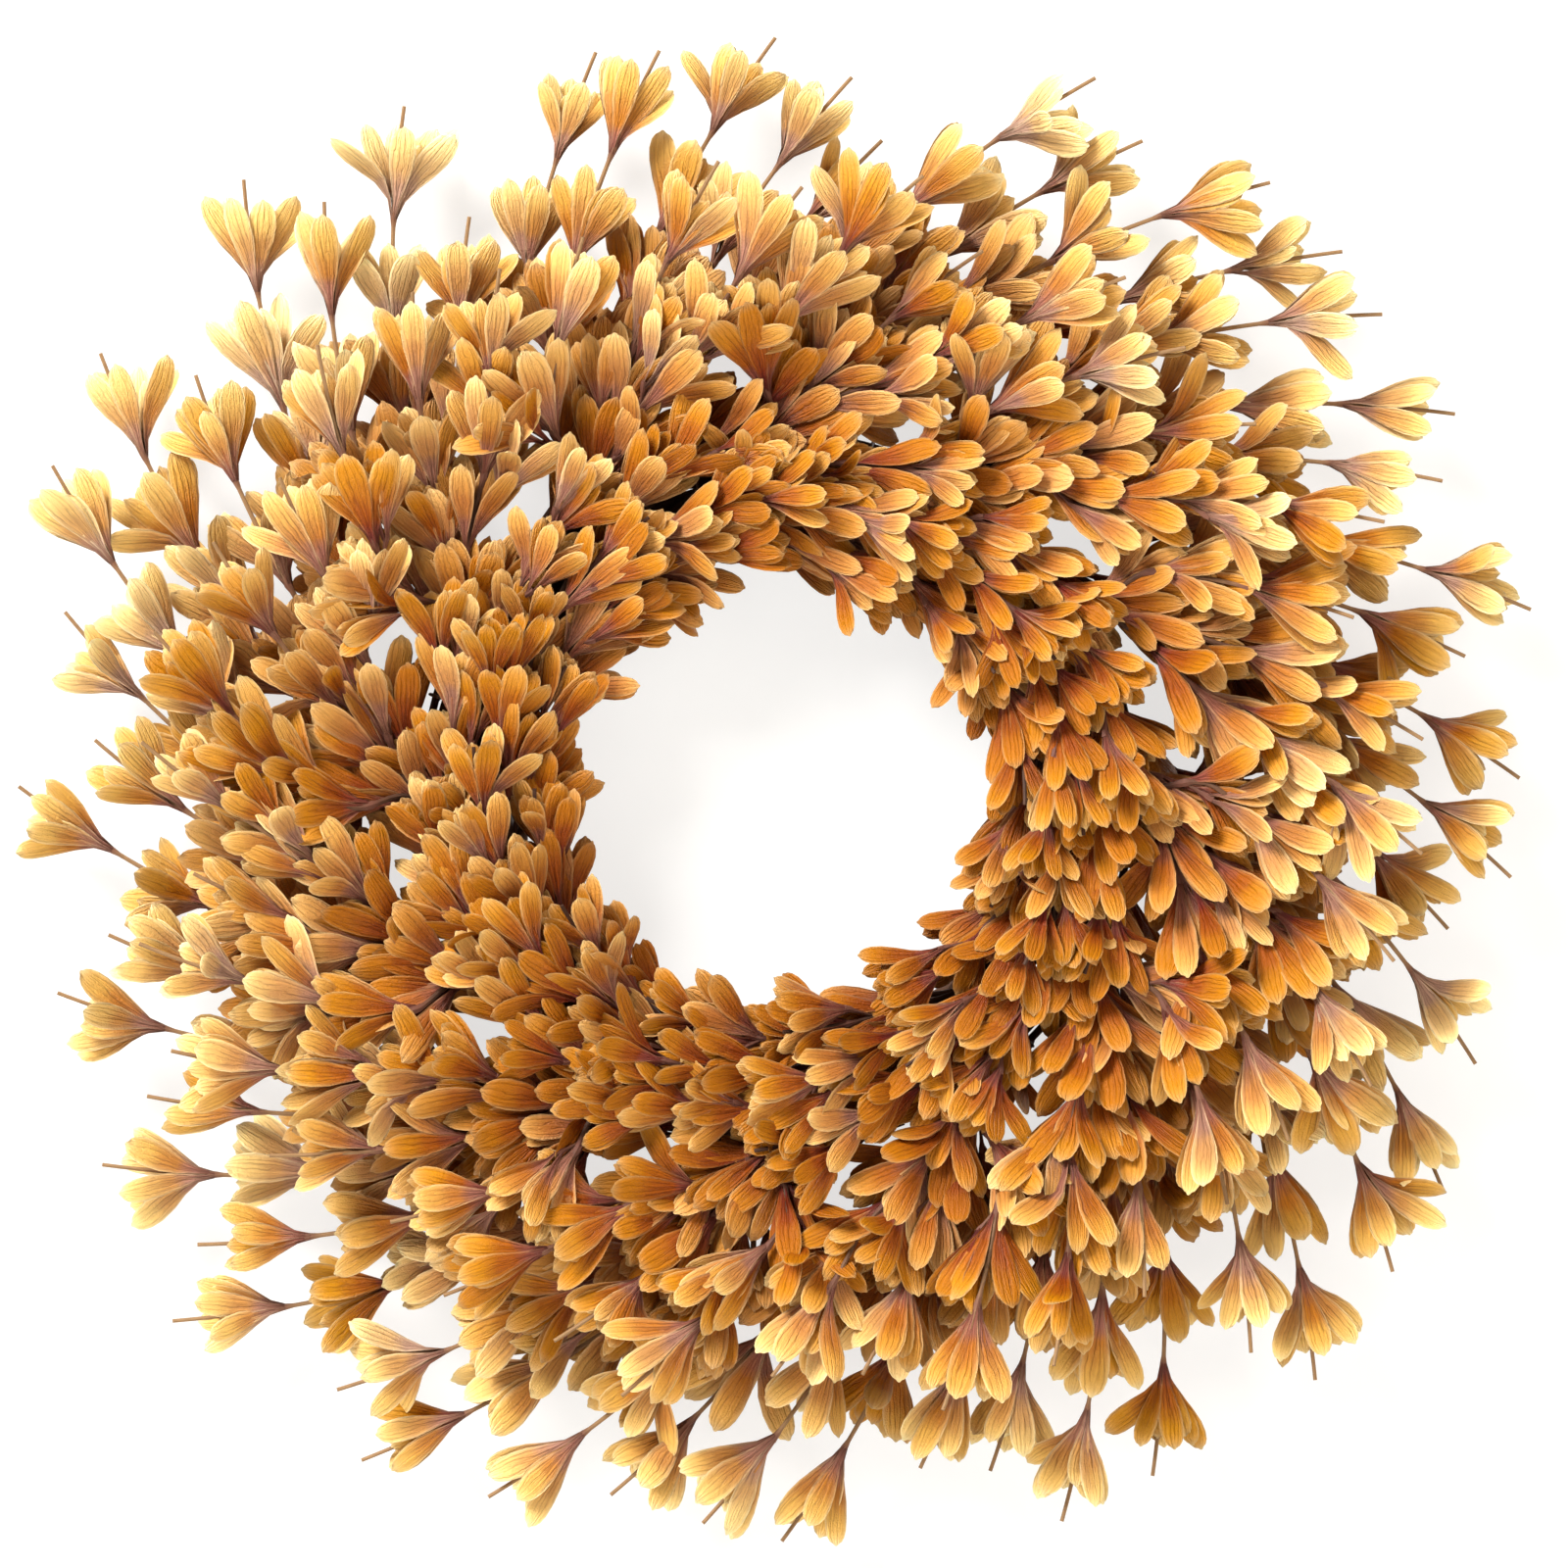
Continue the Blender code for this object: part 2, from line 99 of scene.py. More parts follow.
# What each twig's reach differs by, in millimetres, clockwise from the one that ends at the top
OUTER_TRIM = (
    1, -14, -34, 9, -2, 10, 11, 5, 9, -8, 9, -20,
    -3, -6, -24, -2, 11, 10, 18, -7, 12, 11, -13, -22,
    1, -6, -9, 4, 15, -3, 21, -6, 9, -19, 0, -25,
    4, -25, -5, 15, 21, -14, 23, -4, 11, -38, 4, -2,
)
TOP_TWIG = 8  # how many twigs clockwise of the top the first station's main stem ends
FRONT_TWIGS = 3
FRONT_SIDE = 58  # degrees
FRONT_REACH = 226 * MM
FRONT_REACH_SPREAD = 16 * MM
FRONT_STAGGER = 5 * MM
FRONT_SLOPE = 0.34
INNER_SIDE = 125
INNER_TWIG_SIDES = (166, 140, 108, 76)
INNER_TWIG_LENGTHS = (54 * MM, 90 * MM, 100 * MM, 92 * MM)
INNER_TWIG_CLIMBS = (0.5, 1, 1, 1)
INNER_SETTLE = 34 * MM  # along which an inner twig turns to its own side
INNER_RISE = (2 * INNER_FLORET_RADIUS + INNER_LAYER_GAP) * STATIONS / (TAU * RING_RADIUS)


# ---------------------------------------------------------------- where the twigs run

def chance(*keys):
    """A number from -1 to 1 that looks random and depends only on the keys."""
    total = sum(key * weight for key, weight in zip(keys, (12.9898, 78.233, 37.719)))
    scrambled = math.sin(total) * 43758.5453
    return 2 * (scrambled - math.floor(scrambled)) - 1


def smooth(share):
    """Rises from 0 to 1 with level ends."""
    share = np.clip(share, 0, 1)
    return share * share * (3 - 2 * share)


def ring_points(radius, azimuth, forward):
    """Points round the ring's centre, at these radii, azimuths and distances in front of it."""
    radius, azimuth, forward = np.broadcast_arrays(radius, azimuth, forward)
    places = np.stack([radius * np.cos(azimuth), -forward, radius * np.sin(azimuth)], axis=-1)
    return places + RING_CENTRE


def bundle_points(offset, side, azimuth):
    """Points this far from the core vine's centre line, on this side of it, in radians."""
    return ring_points(RING_RADIUS + offset * np.cos(side), azimuth, offset * np.sin(side))


def arc_lengths(path):
    """Distance along the path of each of its points."""
    return np.concatenate([[0], np.cumsum(np.linalg.norm(np.diff(path, axis=0), axis=1))])


def along(path, distance):
    """The points at these distances along the path."""
    lengths = arc_lengths(path)
    return np.stack([np.interp(distance, lengths, path[:, axis]) for axis in range(3)], axis=-1)


def fan_path(station, side, reach, fork, spread_length, turn, rise, main_depth, depth):
    """A twig of a fan: a spiral out from the ring whose depth and azimuth settle past its fork."""
    start_radius = RING_RADIUS + STEM_OFFSET * math.cos(side)
    leave = station - HELD_LENGTH / start_radius
    first = start_radius if fork is None else start_radius + fork
    radius = first + (reach - first) * np.linspace(0, 1, PATH_STEPS) ** 1.6
    spread = 0 if fork is None else smooth((radius - first) / spread_length)
    spiral = math.tan(SWEEP_ANGLE) * np.log(radius / start_radius)
    take_off = TAKE_OFF_TURN * (1 - np.exp(-(radius - start_radius) / TAKE_OFF_LENGTH))
    azimuth = leave - spiral - take_off + turn * spread
    main_forward = main_depth * smooth((radius - start_radius) / spread_length)
    forward = main_forward + (depth - main_forward) * spread
    forward = forward + STEM_OFFSET * math.sin(side) + rise(radius - start_radius)
    path = ring_points(radius, azimuth, forward)
    if fork is None:
        held = np.linspace(station + BUTT_LENGTH / start_radius, leave, 8, endpoint=False)
        path = np.concatenate([ring_points(start_radius, held, STEM_OFFSET * math.sin(side)), path])
    return path


def inner_path(station, side, length, climb, from_butt):
    """A twig along the ring: it turns to its own side of the bundle, then climbs forward."""
    run = np.linspace(-BUTT_LENGTH if from_butt else 0, length, PATH_STEPS)
    turned = INNER_SIDE + (side - INNER_SIDE) * smooth(run / INNER_SETTLE)
    turned = turned - 0.25 * np.clip(run - INNER_SETTLE, 0, None) / MM
    offset = STEM_OFFSET + climb * INNER_RISE * np.clip(run - HELD_LENGTH, 0, None)
    return bundle_points(offset, np.radians(turned), station - run / RING_RADIUS)


def floret_bases(last, clear, pitches):
    """Distances along a twig of its florets' bases, from the clear stretch to the last one."""
    pitch, least = pitches
    bases = [last]
    while bases[0] - pitch > clear:
        bases.insert(0, bases[0] - pitch)
        pitch = max(pitch * PITCH_RATIO, least)
    return bases


def twig(path, is_main, clear, pitches, floret_length, bare_tip):
    """A twig's path, its florets' bases along it, and its thickness at the root."""
    length = arc_lengths(path)[-1]
    bases = floret_bases(length - bare_tip - floret_length, clear[0 if is_main else 1], pitches)
    return {"path": path, "length": length, "bases": bases,
            "root": STEM_RADIUS if is_main else TWIG_RADIUS}


def station_azimuth(number):
    """Where round the ring this pick is tied, in radians."""
    return math.radians(FIRST_STATION - number * 360 / STATIONS)


def outer_twigs(number):
    """The four long twigs of an outer pick."""
    twigs = []
    for order, place in enumerate((0, -1, 1, 2)):
        trim = OUTER_TRIM[(TOP_TWIG + OUTER_TWIGS * number - place) % len(OUTER_TRIM)] * MM
        fork = (5 + 8 * (OUTER_TWIGS - 1 - order)) * MM if place else None
        turn = place * TAU / (STATIONS * OUTER_TWIGS)
        depth = OUTER_STAGGER * (1 if place % 2 else -1)
        if place:
            turn += SWAY * chance(number, place, 1)
            depth += BOB * chance(number, place, 2)
        path = fan_path(
            station_azimuth(number), 0, OUTER_REACH + trim, fork, 42 * MM, turn,
            lambda out: OUTER_LIFT * (out / (OUTER_REACH - RING_RADIUS)) ** 2, -OUTER_STAGGER, depth,
        )
        clear, pitches = (48 * MM, 20 * MM), (44 * MM, 24 * MM)
        twigs.append(twig(path, place == 0, clear, pitches, FLORET_LENGTH, BARE_TIP))
    return twigs


def front_twigs(number):
    """The three twigs of a front pick, which rise towards the viewer."""
    twigs = []
    for order, place in enumerate((0, -1, 1)):
        reach = FRONT_REACH + FRONT_REACH_SPREAD * chance(number, place, 3)
        fork = (4 + 6 * (FRONT_TWIGS - 1 - order)) * MM if place else None
        turn = place * TAU / (STATIONS * FRONT_TWIGS)
        depth = FRONT_STAGGER * (1 if place else -1)
        if place:
            turn += SWAY * chance(number, place, 4)
            depth += BOB * chance(number, place, 5)
        path = fan_path(
            station_azimuth(number), math.radians(FRONT_SIDE), reach, fork, 34 * MM, turn,
            lambda out: FRONT_SLOPE * out, -FRONT_STAGGER, depth,
        )
        clear, pitches = (28 * MM, 10 * MM), (36 * MM, 22 * MM)
        twigs.append(twig(path, place == 0, clear, pitches, FLORET_LENGTH, BARE_TIP))
    return twigs


def inner_twigs(number):
    """The four short twigs of an inner pick, which run along the ring."""
    twigs = []
    for place in (2, 0, 1, 3):
        side = INNER_TWIG_SIDES[place] + 2 * chance(number, place, 6)
        length = INNER_TWIG_LENGTHS[place] * (1 + 0.06 * chance(number, place, 7))
        path = inner_path(station_azimuth(number), side, length, INNER_TWIG_CLIMBS[place], place == 2)
        clear, pitches = (36 * MM, 15 * MM), (23 * MM, 21 * MM)
        twigs.append(twig(path, place == 2, clear, pitches, INNER_FLORET_LENGTH, INNER_BARE_TIP))
    return twigs


# ---------------------------------------------------------------- mesh making

def unit(vectors):
    """The vectors at a length of one."""
    return vectors / np.maximum(np.linalg.norm(vectors, axis=-1, keepdims=True), 1e-12)


def make_piece(name, points, faces, uv, values=None, sharp=50):
    """A smooth-shaded mesh object from points and faces, with a UV place and named values per point."""
    mesh = bpy.data.meshes.new(name)
    mesh.from_pydata(points.reshape(-1, 3).tolist(), [], [list(f) for f in faces])
    corners = np.empty(len(mesh.loops), np.int32)
    mesh.loops.foreach_get("vertex_index", corners)
    layer = mesh.uv_layers.new(name="UVMap")
    layer.data.foreach_set("uv", uv.reshape(-1, 2)[corners].astype(np.float32).ravel())
    for key, value in (values or {}).items():
        made = mesh.attributes.new(key, "FLOAT", "POINT")
        made.data.foreach_set("value", np.asarray(value, np.float32).ravel())
    mesh.shade_smooth()
    mesh.set_sharp_from_angle(angle=math.radians(sharp))
    mesh.update()
    piece = bpy.data.objects.new(name, mesh)
    bpy.context.scene.collection.objects.link(piece)
    return piece


def carried_frames(path):
    """Two unit vectors across the path at each point, the first as near to the front as it goes."""
    ahead = unit(np.gradient(path, axis=0))
    guide = np.array([0.0, -1.0, 0.0]) + 0.001
    first = unit(guide - ahead * (ahead @ guide)[:, None])
    return first, np.cross(ahead, first)


def tube_arrays(path, radius, sides, closed=False, rough=None):
    """Points, faces and UVs of a tube: a circle of this radius is carried along the path.

    rough(turn, run) is added to the radius, with turn in radians round it and run its distance
    along. An open tube gets a flat cap at each end.
    """
    first, second = carried_frames(path)
    run = arc_lengths(path)
    turn = np.arange(sides) * TAU / sides
    reach = np.broadcast_to(np.asarray(radius, float), len(path))[:, None] * np.ones(sides)
    if rough is not None:
        reach = reach + rough(turn[None, :], run[:, None])
    spokes = np.cos(turn)[None, :, None] * first[:, None] + np.sin(turn)[None, :, None] * second[:, None]
    points = path[:, None] + reach[..., None] * spokes
    rings = len(path)
    here = np.arange(rings if closed else rings - 1)[:, None] * sides
    above = ((np.arange(rings if closed else rings - 1) + 1) % rings)[:, None] * sides
    column, following = np.arange(sides)[None, :], (np.arange(sides)[None, :] + 1) % sides
    quads = np.stack([here + column, here + following, above + following, above + column], -1)
    faces = quads.reshape(-1, 4).tolist()
    if not closed:
        faces.append(list(range(sides))[::-1])
        faces.append([(rings - 1) * sides + k for k in range(sides)])
    around = np.broadcast_to(turn[None, :] / TAU, (rings, sides))
    uv = np.stack([around, np.broadcast_to(run[:, None], (rings, sides))], -1)
    return points.reshape(-1, 3), faces, uv.reshape(-1, 2)


def merge(parts):
    """Several (points, faces, uv, value) shapes as one set of arrays."""
    points, faces, uvs, extra, start = [], [], [], [], 0
    for part in parts:
        points.append(part[0])
        faces.extend([[start + corner for corner in face] for face in part[1]])
        uvs.append(part[2])
        extra.append(part[3])
        start += len(part[0])
    return np.concatenate(points), faces, np.concatenate(uvs), np.concatenate(extra)


# ---------------------------------------------------------------- petals and florets

PETAL_ROWS = np.array([0, 0.18, 0.38, 0.56, 0.73, 0.85, 0.93, 0.978, 1])
PETAL_COLUMNS = np.linspace(-1, 1, 5)
PETAL_THICKNESS = 0.5 * MM
PETAL_SHOULDER = 0.7  # share of its length at which a petal is widest
PETAL_CLAW = 0.15  # its width at the base, as a share of the widest
PETAL_SQUARENESS = 2.4  # power of the superellipse that ends it
FLORET_THROAT = 1.2 * MM  # petals start this far off the floret's axis
WALL_GAP = 1.5 * MM
WALL_PLACE = 10 * MM  # the wall's face, behind the origin
FRONT_LIMIT = -97 * MM  # petals bend aside before this depth


def petal_template():
    """Faces of one petal: an outer sheet of rows by columns, and an inner one that shares its rim.

    Each cell is cut from the corner of the sheet it is nearest, so no cut joins two rim points.
    """
    rows, columns = len(PETAL_ROWS), len(PETAL_COLUMNS)
    outer = np.arange(rows * columns).reshape(rows, columns)
    inner = outer.copy()
    inside = (rows - 2) * (columns - 2)
    inner[1:-1, 1:-1] = rows * columns + np.arange(inside).reshape(rows - 2, columns - 2)

    def triangles(grid):
        a, b, c, d = grid[:-1, :-1], grid[:-1, 1:], grid[1:, 1:], grid[1:, :-1]
        low = np.arange(a.shape[0])[:, None] < a.shape[0] // 2
        left = np.arange(a.shape[1]) < a.shape[1] // 2
        from_a = (low == left)[..., None]
        first = np.where(from_a, np.stack([a, b, c], -1), np.stack([a, b, d], -1))
        second = np.where(from_a, np.stack([a, c, d], -1), np.stack([b, c, d], -1))
        return np.concatenate([first, second]).reshape(-1, 3)

    return np.concatenate([triangles(outer), triangles(inner)[:, ::-1]])


def run_up(slope, step):
    """The running total of a slope along each petal, from its base."""
    middle = (slope[:, 1:] + slope[:, :-1]) / 2 * step
    return np.concatenate([np.zeros((len(slope), 1)), np.cumsum(middle, axis=1)], axis=1)


def petals(base, axis, across, swing, size, half_width, angle, opening, tip_curl, cup, twist, ruffle,
           groove_depth):
    """Points of many petals at once, as an outer and an inner sheet each.

    A petal's midrib leaves the floret's axis by `angle`, opens to `opening` by mid-length and
    curls back by `tip_curl` at its end. Across it, the sheet is an arc that bends to the axis by
    `cup`; `swing` turns its face about the midrib, and `twist` winds it on towards the end. Its
    half-width grows from a narrow claw to two thirds of the length and ends in a superellipse.
    Its edges wave by `ruffle`, and a groove runs down its middle.
    """
    v, u = PETAL_ROWS, PETAL_COLUMNS
    step = np.diff(v)
    curl = tip_curl[:, None] * np.clip(v - 0.5, 0, 1) ** 2 * 4
    lean = angle[:, None] + (opening - angle)[:, None] * smooth(v / 0.55) - curl
    outward = FLORET_THROAT + size[:, None] * run_up(np.sin(lean), step)
    upward = size[:, None] * run_up(np.cos(lean), step)
    end = np.clip((v - PETAL_SHOULDER) / 0.303, 0, 1)
    widening = PETAL_CLAW + (1 - PETAL_CLAW) * smooth((v - 0.04) / 0.66)
    rounded = (1 - end ** PETAL_SQUARENESS) ** (1 / PETAL_SQUARENESS)
    width = np.where(v < PETAL_SHOULDER, widening, rounded)
    width = (half_width[:, None] * width)[..., None]
    hollow = (cup[:, None] * (1.7 - 0.7 * smooth(v / 0.5)))[..., None]
    bend = hollow * u
    sideways = width * np.sin(bend) / hollow
    inward = width * (1 - np.cos(bend)) / hollow
    waves = np.sin(v * 8 + twist[:, None] * 20)[..., None] * np.sign(u) + 0.6 * np.cos(v * 11)[:, None]
    inward = inward + ruffle[:, None, None] * MM * waves * u ** 2 * (v ** 1.5)[:, None]
    groove = groove_depth[:, None] * np.sin(math.pi * np.clip(v * 1.1, 0, 1))
    inward = inward + groove[..., None] * np.clip(1 - 2 * np.abs(u), 0, 1)
    rounding = (size * 0.025)[:, None, None] * (v ** 12)[:, None] * (1 - u ** 2)

    tangent = np.cross(axis, across)
    out, up = np.sin(lean)[..., None], np.cos(lean)[..., None]
    rib = out * across[:, None] + up * axis[:, None]
    to_axis = -up * across[:, None] + out * axis[:, None]
    turned = swing[:, None] * smooth(v / 0.45) + twist[:, None] * v
    cosine, sine = np.cos(turned)[..., None], np.sin(turned)[..., None]
    side = cosine * tangent[:, None] + sine * to_axis
    lift = cosine * to_axis - sine * tangent[:, None]
    middle = base[:, None] + outward[..., None] * across[:, None] + upward[..., None] * axis[:, None]
    side, lift, rib = side[:, :, None], lift[:, :, None], rib[:, :, None]
    sheet = middle[:, :, None] + sideways[..., None] * side + inward[..., None] * lift
    sheet = sheet + rounding[..., None] * rib
    facing = np.cos(bend)[..., None] * lift - np.sin(bend)[..., None] * side
    other = sheet + PETAL_THICKNESS * np.sqrt(1 - u ** 2)[:, None] * facing
    count = len(base)
    return np.concatenate([sheet.reshape(count, -1, 3), other[:, 1:-1, 1:-1].reshape(count, -1, 3)], axis=1)


def settle(points):
    """Petals that would pass through the wall lie along it, and none stands far out in front."""
    easing = 6 * MM
    back = WALL_PLACE - WALL_GAP - easing
    front = FRONT_LIMIT + easing
    depth = points[..., 1]
    past = np.clip(depth - back, 0, None)
    short = np.clip(front - depth, 0, None)
    depth = np.where(past > 0, back + easing * (1 - np.exp(-past / easing)), depth)
    depth = np.where(short > 0, front - easing * (1 - np.exp(-short / easing)), depth)
    return np.stack([points[..., 0], depth, points[..., 2]], axis=-1)


FACING = 0.62  # how far a petal turns its face to the front, where 1 is fully
FLATNESS = 0.72  # how deep a floret is for its width
LEVEL = np.array([1, 0.6, 1])  # florets lie flatter than their twigs
STRAY_SHARE = 0.4  # of the florets have one petal that hangs open
STALK_REACH = (6, 13)  # least and most length of a stalk, in millimetres
STALK_LEAN = 0.62


def whorls(florets, draw):
    """The petals of these florets as arrays: a wide outer whorl and a narrow inner one each."""
    rows = []
    for floret in florets:
        axis = floret["axis"]
        front = unit(np.array([0.0, -1.0, 0.0]) + axis * axis[1])
        beside = np.cross(axis, front)
        outer = 5 + int(draw.random() < 0.55) + int(draw.random() < 0.4)
        inner = 2 + int(draw.random() < 0.5)
        start = draw.random() * TAU
        stray = draw.integers(0, outer) if draw.random() < STRAY_SHARE else -1
        for whorl, number in ((0, outer), (1, inner)):
            for index in range(number):
                turn = start + (index + 0.5 * whorl + draw.uniform(-0.25, 0.25)) * TAU / number
                turn = math.atan2(math.sin(turn), FLATNESS * math.cos(turn))
                aside = (turn + math.pi / 2) % math.pi - math.pi / 2
                if whorl == 0:
                    length, half = draw.uniform(0.92, 1.1), draw.uniform(0.128, 0.16)
                    opening = draw.uniform(16, 38)
                    if index == stray:
                        opening = draw.uniform(50, 66)
                else:
                    length, half = draw.uniform(0.76, 0.96), draw.uniform(0.1, 0.135)
                    opening = draw.uniform(5, 18)
                across = math.cos(turn) * front + math.sin(turn) * beside
                angle, tip_curl = math.radians(draw.uniform(6, 14)), math.radians(draw.uniform(-8, 20))
                cup, twist = draw.uniform(0.12, 0.42), math.radians(draw.uniform(-16, 16))
                ruffle, groove_depth = draw.uniform(0.1, 0.7), draw.uniform(0.4, 1.1) * MM
                rows.append((
                    floret["place"], axis, across, -FACING * aside, floret["size"] * length,
                    floret["size"] * half, angle, math.radians(opening * floret["open"]), tip_curl,
                    cup, twist, ruffle, groove_depth,
                    0.55 * floret["tone"] + 0.45 * draw.random(), floret["deep"],
                ))
    return [np.array(column) for column in zip(*rows)]


def florets_on(twigs, petal_size, draw, fill):
    """A pick's florets and the ways they point: one at each base, and stalked ones between.

    `fill` is the spacing of the stalked florets down each twig, how far from its root and from
    its end they stop, and the least and most that they turn aside from the front, in degrees.
    """
    florets = []
    for one in twigs:
        path, length, bases = one["path"], one["length"], one["bases"]
        for order, base in enumerate(bases):
            place = along(path, base)
            ahead = unit(along(path, min(base + 12 * MM, length)) - place)
            last = order == len(bases) - 1
            florets.append({
                "place": place, "stalk": None,
                "axis": unit((ahead + draw.uniform(-0.16, 0.16, 3)) * LEVEL),
                "size": petal_size * draw.uniform(0.94, 1.12) * (0.92 if last else 1),
                "open": draw.uniform(0.85, 1.15),
                "tone": draw.random(), "deep": depth_shade_in_fan(place),
            })
        spacing, near, far, least, most = fill
        stations = np.arange(near, length - far, spacing) + draw.uniform(-0.2, 0.2) * spacing
        hand = 1 if draw.random() < 0.5 else -1
        for distance in stations:
            root = along(path, distance)
            ahead = unit(along(path, distance + 6 * MM) - root)
            front = unit(np.array([0.0, -1.0, 0.0]) + ahead * ahead[1])
            aside = np.cross(ahead, front)
            turn = hand * math.radians(draw.uniform(least, most))
            hand = -hand
            way = unit(ahead + STALK_LEAN * (math.cos(turn) * front + math.sin(turn) * aside))
            reach = draw.uniform(*STALK_REACH) * MM
            place = root + way * reach
            florets.append({
                "place": place, "axis": unit((1.5 * ahead + way) * LEVEL), "stalk": (root, way, reach),
                "size": petal_size * draw.uniform(0.82, 1.0), "open": draw.uniform(0.85, 1.15),
                "tone": draw.random(), "deep": depth_shade_in_fan(place),
            })
    return florets


def florets_piece(name, florets, draw):
    """All the florets of a pick as one piece."""
    *shape, tone, deep = whorls(florets, draw)
    points = settle(petals(*shape))
    count, each = points.shape[:2]
    faces = (petal_template()[None] + (np.arange(count) * each)[:, None, None]).reshape(-1, 3).tolist()
    grid = np.stack(np.meshgrid((PETAL_COLUMNS + 1) / 2, PETAL_ROWS), -1)
    uv = np.concatenate([grid.reshape(-1, 2), grid[1:-1, 1:-1].reshape(-1, 2)])
    uv = np.broadcast_to(uv, (count, each, 2))
    values = {"tone": np.repeat(tone, each), "deep": np.repeat(deep, each)}
    return make_piece(name, points, faces, uv, values, sharp=70)


def stems_piece(name, twigs, florets):
    """A pick's stems: tapered tubes that swell at each floret's base, with the stalks of the rest."""
    parts = []
    for one in twigs:
        count = max(12, int(one["length"] / (2.6 * MM)))
        run = np.linspace(0, one["length"], count)
        radius = one["root"] + (TIP_RADIUS - one["root"]) * smooth(run / one["length"])
        calyx = np.zeros(count)
        for base in one["bases"]:
            radius = radius + 0.75 * MM * np.exp(-((run - base - 1.5 * MM) / (2.6 * MM)) ** 2)
            calyx = np.maximum(calyx, np.exp(-((run - base - 1 * MM) / (4 * MM)) ** 2))
        points, faces, uv = tube_arrays(along(one["path"], run), radius, 7)
        parts.append((points, faces, uv, np.repeat(calyx, 7)))
    for floret in florets:
        if floret["stalk"] is None:
            continue
        root, way, reach = floret["stalk"]
        run = np.linspace(-0.5 * MM, reach + 2.5 * MM, 7)
        radius = 0.7 * MM + 0.75 * MM * np.exp(-((run - reach - 1 * MM) / (2.4 * MM)) ** 2)
        points, faces, uv = tube_arrays(root + run[:, None] * way, radius, 6)
        parts.append((points, faces, uv, np.repeat(smooth(run / reach), 6)))
    points, faces, uv, calyx = merge(parts)
    out = np.hypot(points[:, 0] - RING_CENTRE[0], points[:, 2] - RING_CENTRE[2])
    outward_share = smooth((out - 125 * MM) / (100 * MM))
    return make_piece(name, points, faces, uv, {"calyx": calyx, "outward_share": outward_share})


# ---------------------------------------------------------------- vines and wires

def bark_relief(seed, depth):
    """Bark: long ridges that wander round the vine as they run, with slower knots and hollows."""
    def relief(turn, run):
        wander = 0.9 * np.sin(run * 37 + seed) + 0.5 * np.sin(run * 91 + 2 * seed)
        ridges = np.sin(5 * turn + wander * 2.0) + 0.6 * np.sin(9 * turn - wander * 3.1 + seed)
        knots = np.sin(run * 23 + seed * 3) * np.sin(run * 61 + turn + seed)
        return depth * (0.34 * ridges + 0.5 * knots)
    return relief


def vine_piece(number):
    """The core vine, or one of the vines wound round it, each open at its own place."""
    core = number == 0
    gap = VINE_END_GAP / RING_RADIUS / 2
    end = math.radians(20 if core else 200 + 360 / WRAP_VINES * (number - 1))
    azimuth = np.linspace(end - gap, end - TAU + gap, 300)
    if core:
        path, radius = bundle_points(0, 0, azimuth), CORE_RADIUS
    else:
        first_side = 3 * math.pi / 2 - WRAP_TURNS * math.pi / 2
        side = first_side + TAU / WRAP_VINES * (number - 1) + WRAP_TURNS * azimuth
        path, radius = bundle_points(WRAP_OFFSET, side, azimuth), VINE_RADIUS
    points, faces, uv = tube_arrays(path, radius * 0.97, 20, rough=bark_relief(number * 1.7, 0.55 * MM))
    name = "vine_core_bark" if core else f"vine_{number}_bark"
    return make_piece(name, points, faces, uv)


def tie_piece(number):
    """A wire coil round the bundle and stems, with its two ends twisted together behind."""
    turned = np.linspace(0, 1.2, 90)
    side = TAU * (turned - 0.6) + math.pi / 2
    tail = 3 * MM * smooth((np.abs(turned - 0.6) - 0.55) / 0.05)
    drift = 2.2 * MM * (turned - 0.6) / RING_RADIUS
    path = bundle_points(TIE_OFFSET + tail, side, station_azimuth(number) + drift)
    points, faces, uv = tube_arrays(path, TIE_RADIUS, 8)
    return make_piece(f"tie_{number + 1:02d}_wire", points, faces, uv)


def loop_piece():
    """The hanging loop: a bail, the eye round the vine, and the wire's end wrapped round the neck."""
    turned = np.linspace(0, TAU, 120, endpoint=False)
    risen = (1 - np.cos(turned)) / 2
    bail = np.stack([
        LOOP_HALF_WIDTH * np.sin(turned) * (LOOP_NECK + (1 - LOOP_NECK) * risen), np.zeros_like(turned),
        (LOOP_RISE + LOOP_WIRE) * risen - LOOP_RISE,
    ], -1)
    eye = np.stack([
        np.zeros_like(turned), EYE_RADIUS * np.cos(turned) - EYE_RADIUS,
        EYE_RADIUS * np.sin(turned) - LOOP_RISE,
    ], -1)
    parts = []
    for path in (bail, eye):
        points, faces, uv = tube_arrays(path, LOOP_WIRE, 10, closed=True)
        parts.append((points, faces, uv, np.zeros(len(points))))
    wound = np.linspace(0, TAU * NECK_TURNS, 90)
    height = np.linspace(*NECK_COIL, 90)
    bail_there = LOOP_HALF_WIDTH * np.sin(np.arccos(1 - 2 * height / (LOOP_RISE + LOOP_WIRE)))
    wide = 1.0 * MM + bail_there * 0.33
    coil = np.stack([(wide + LOOP_WIRE) * np.cos(wound), 1.5 * MM * np.sin(wound), height - LOOP_RISE], -1)
    points, faces, uv = tube_arrays(coil, LOOP_WIRE * 0.85, 8)
    parts.append((points, faces, uv, np.zeros(len(points))))
    points, faces, uv, _ = merge(parts)
    return make_piece("hanging_loop_wire", points, faces, uv)


# ---------------------------------------------------------------- materials

def nodes_of(tree):
    """Short ways to add a node and to link two sockets in a node tree."""
    def add(kind, **settings):
        node = tree.nodes.new(kind)
        for key, value in settings.items():
            if key in node.bl_rna.properties:
                setattr(node, key, value)
            else:
                node.inputs[key.replace("_", " ")].default_value = value
        return node
    return add, tree.links.new


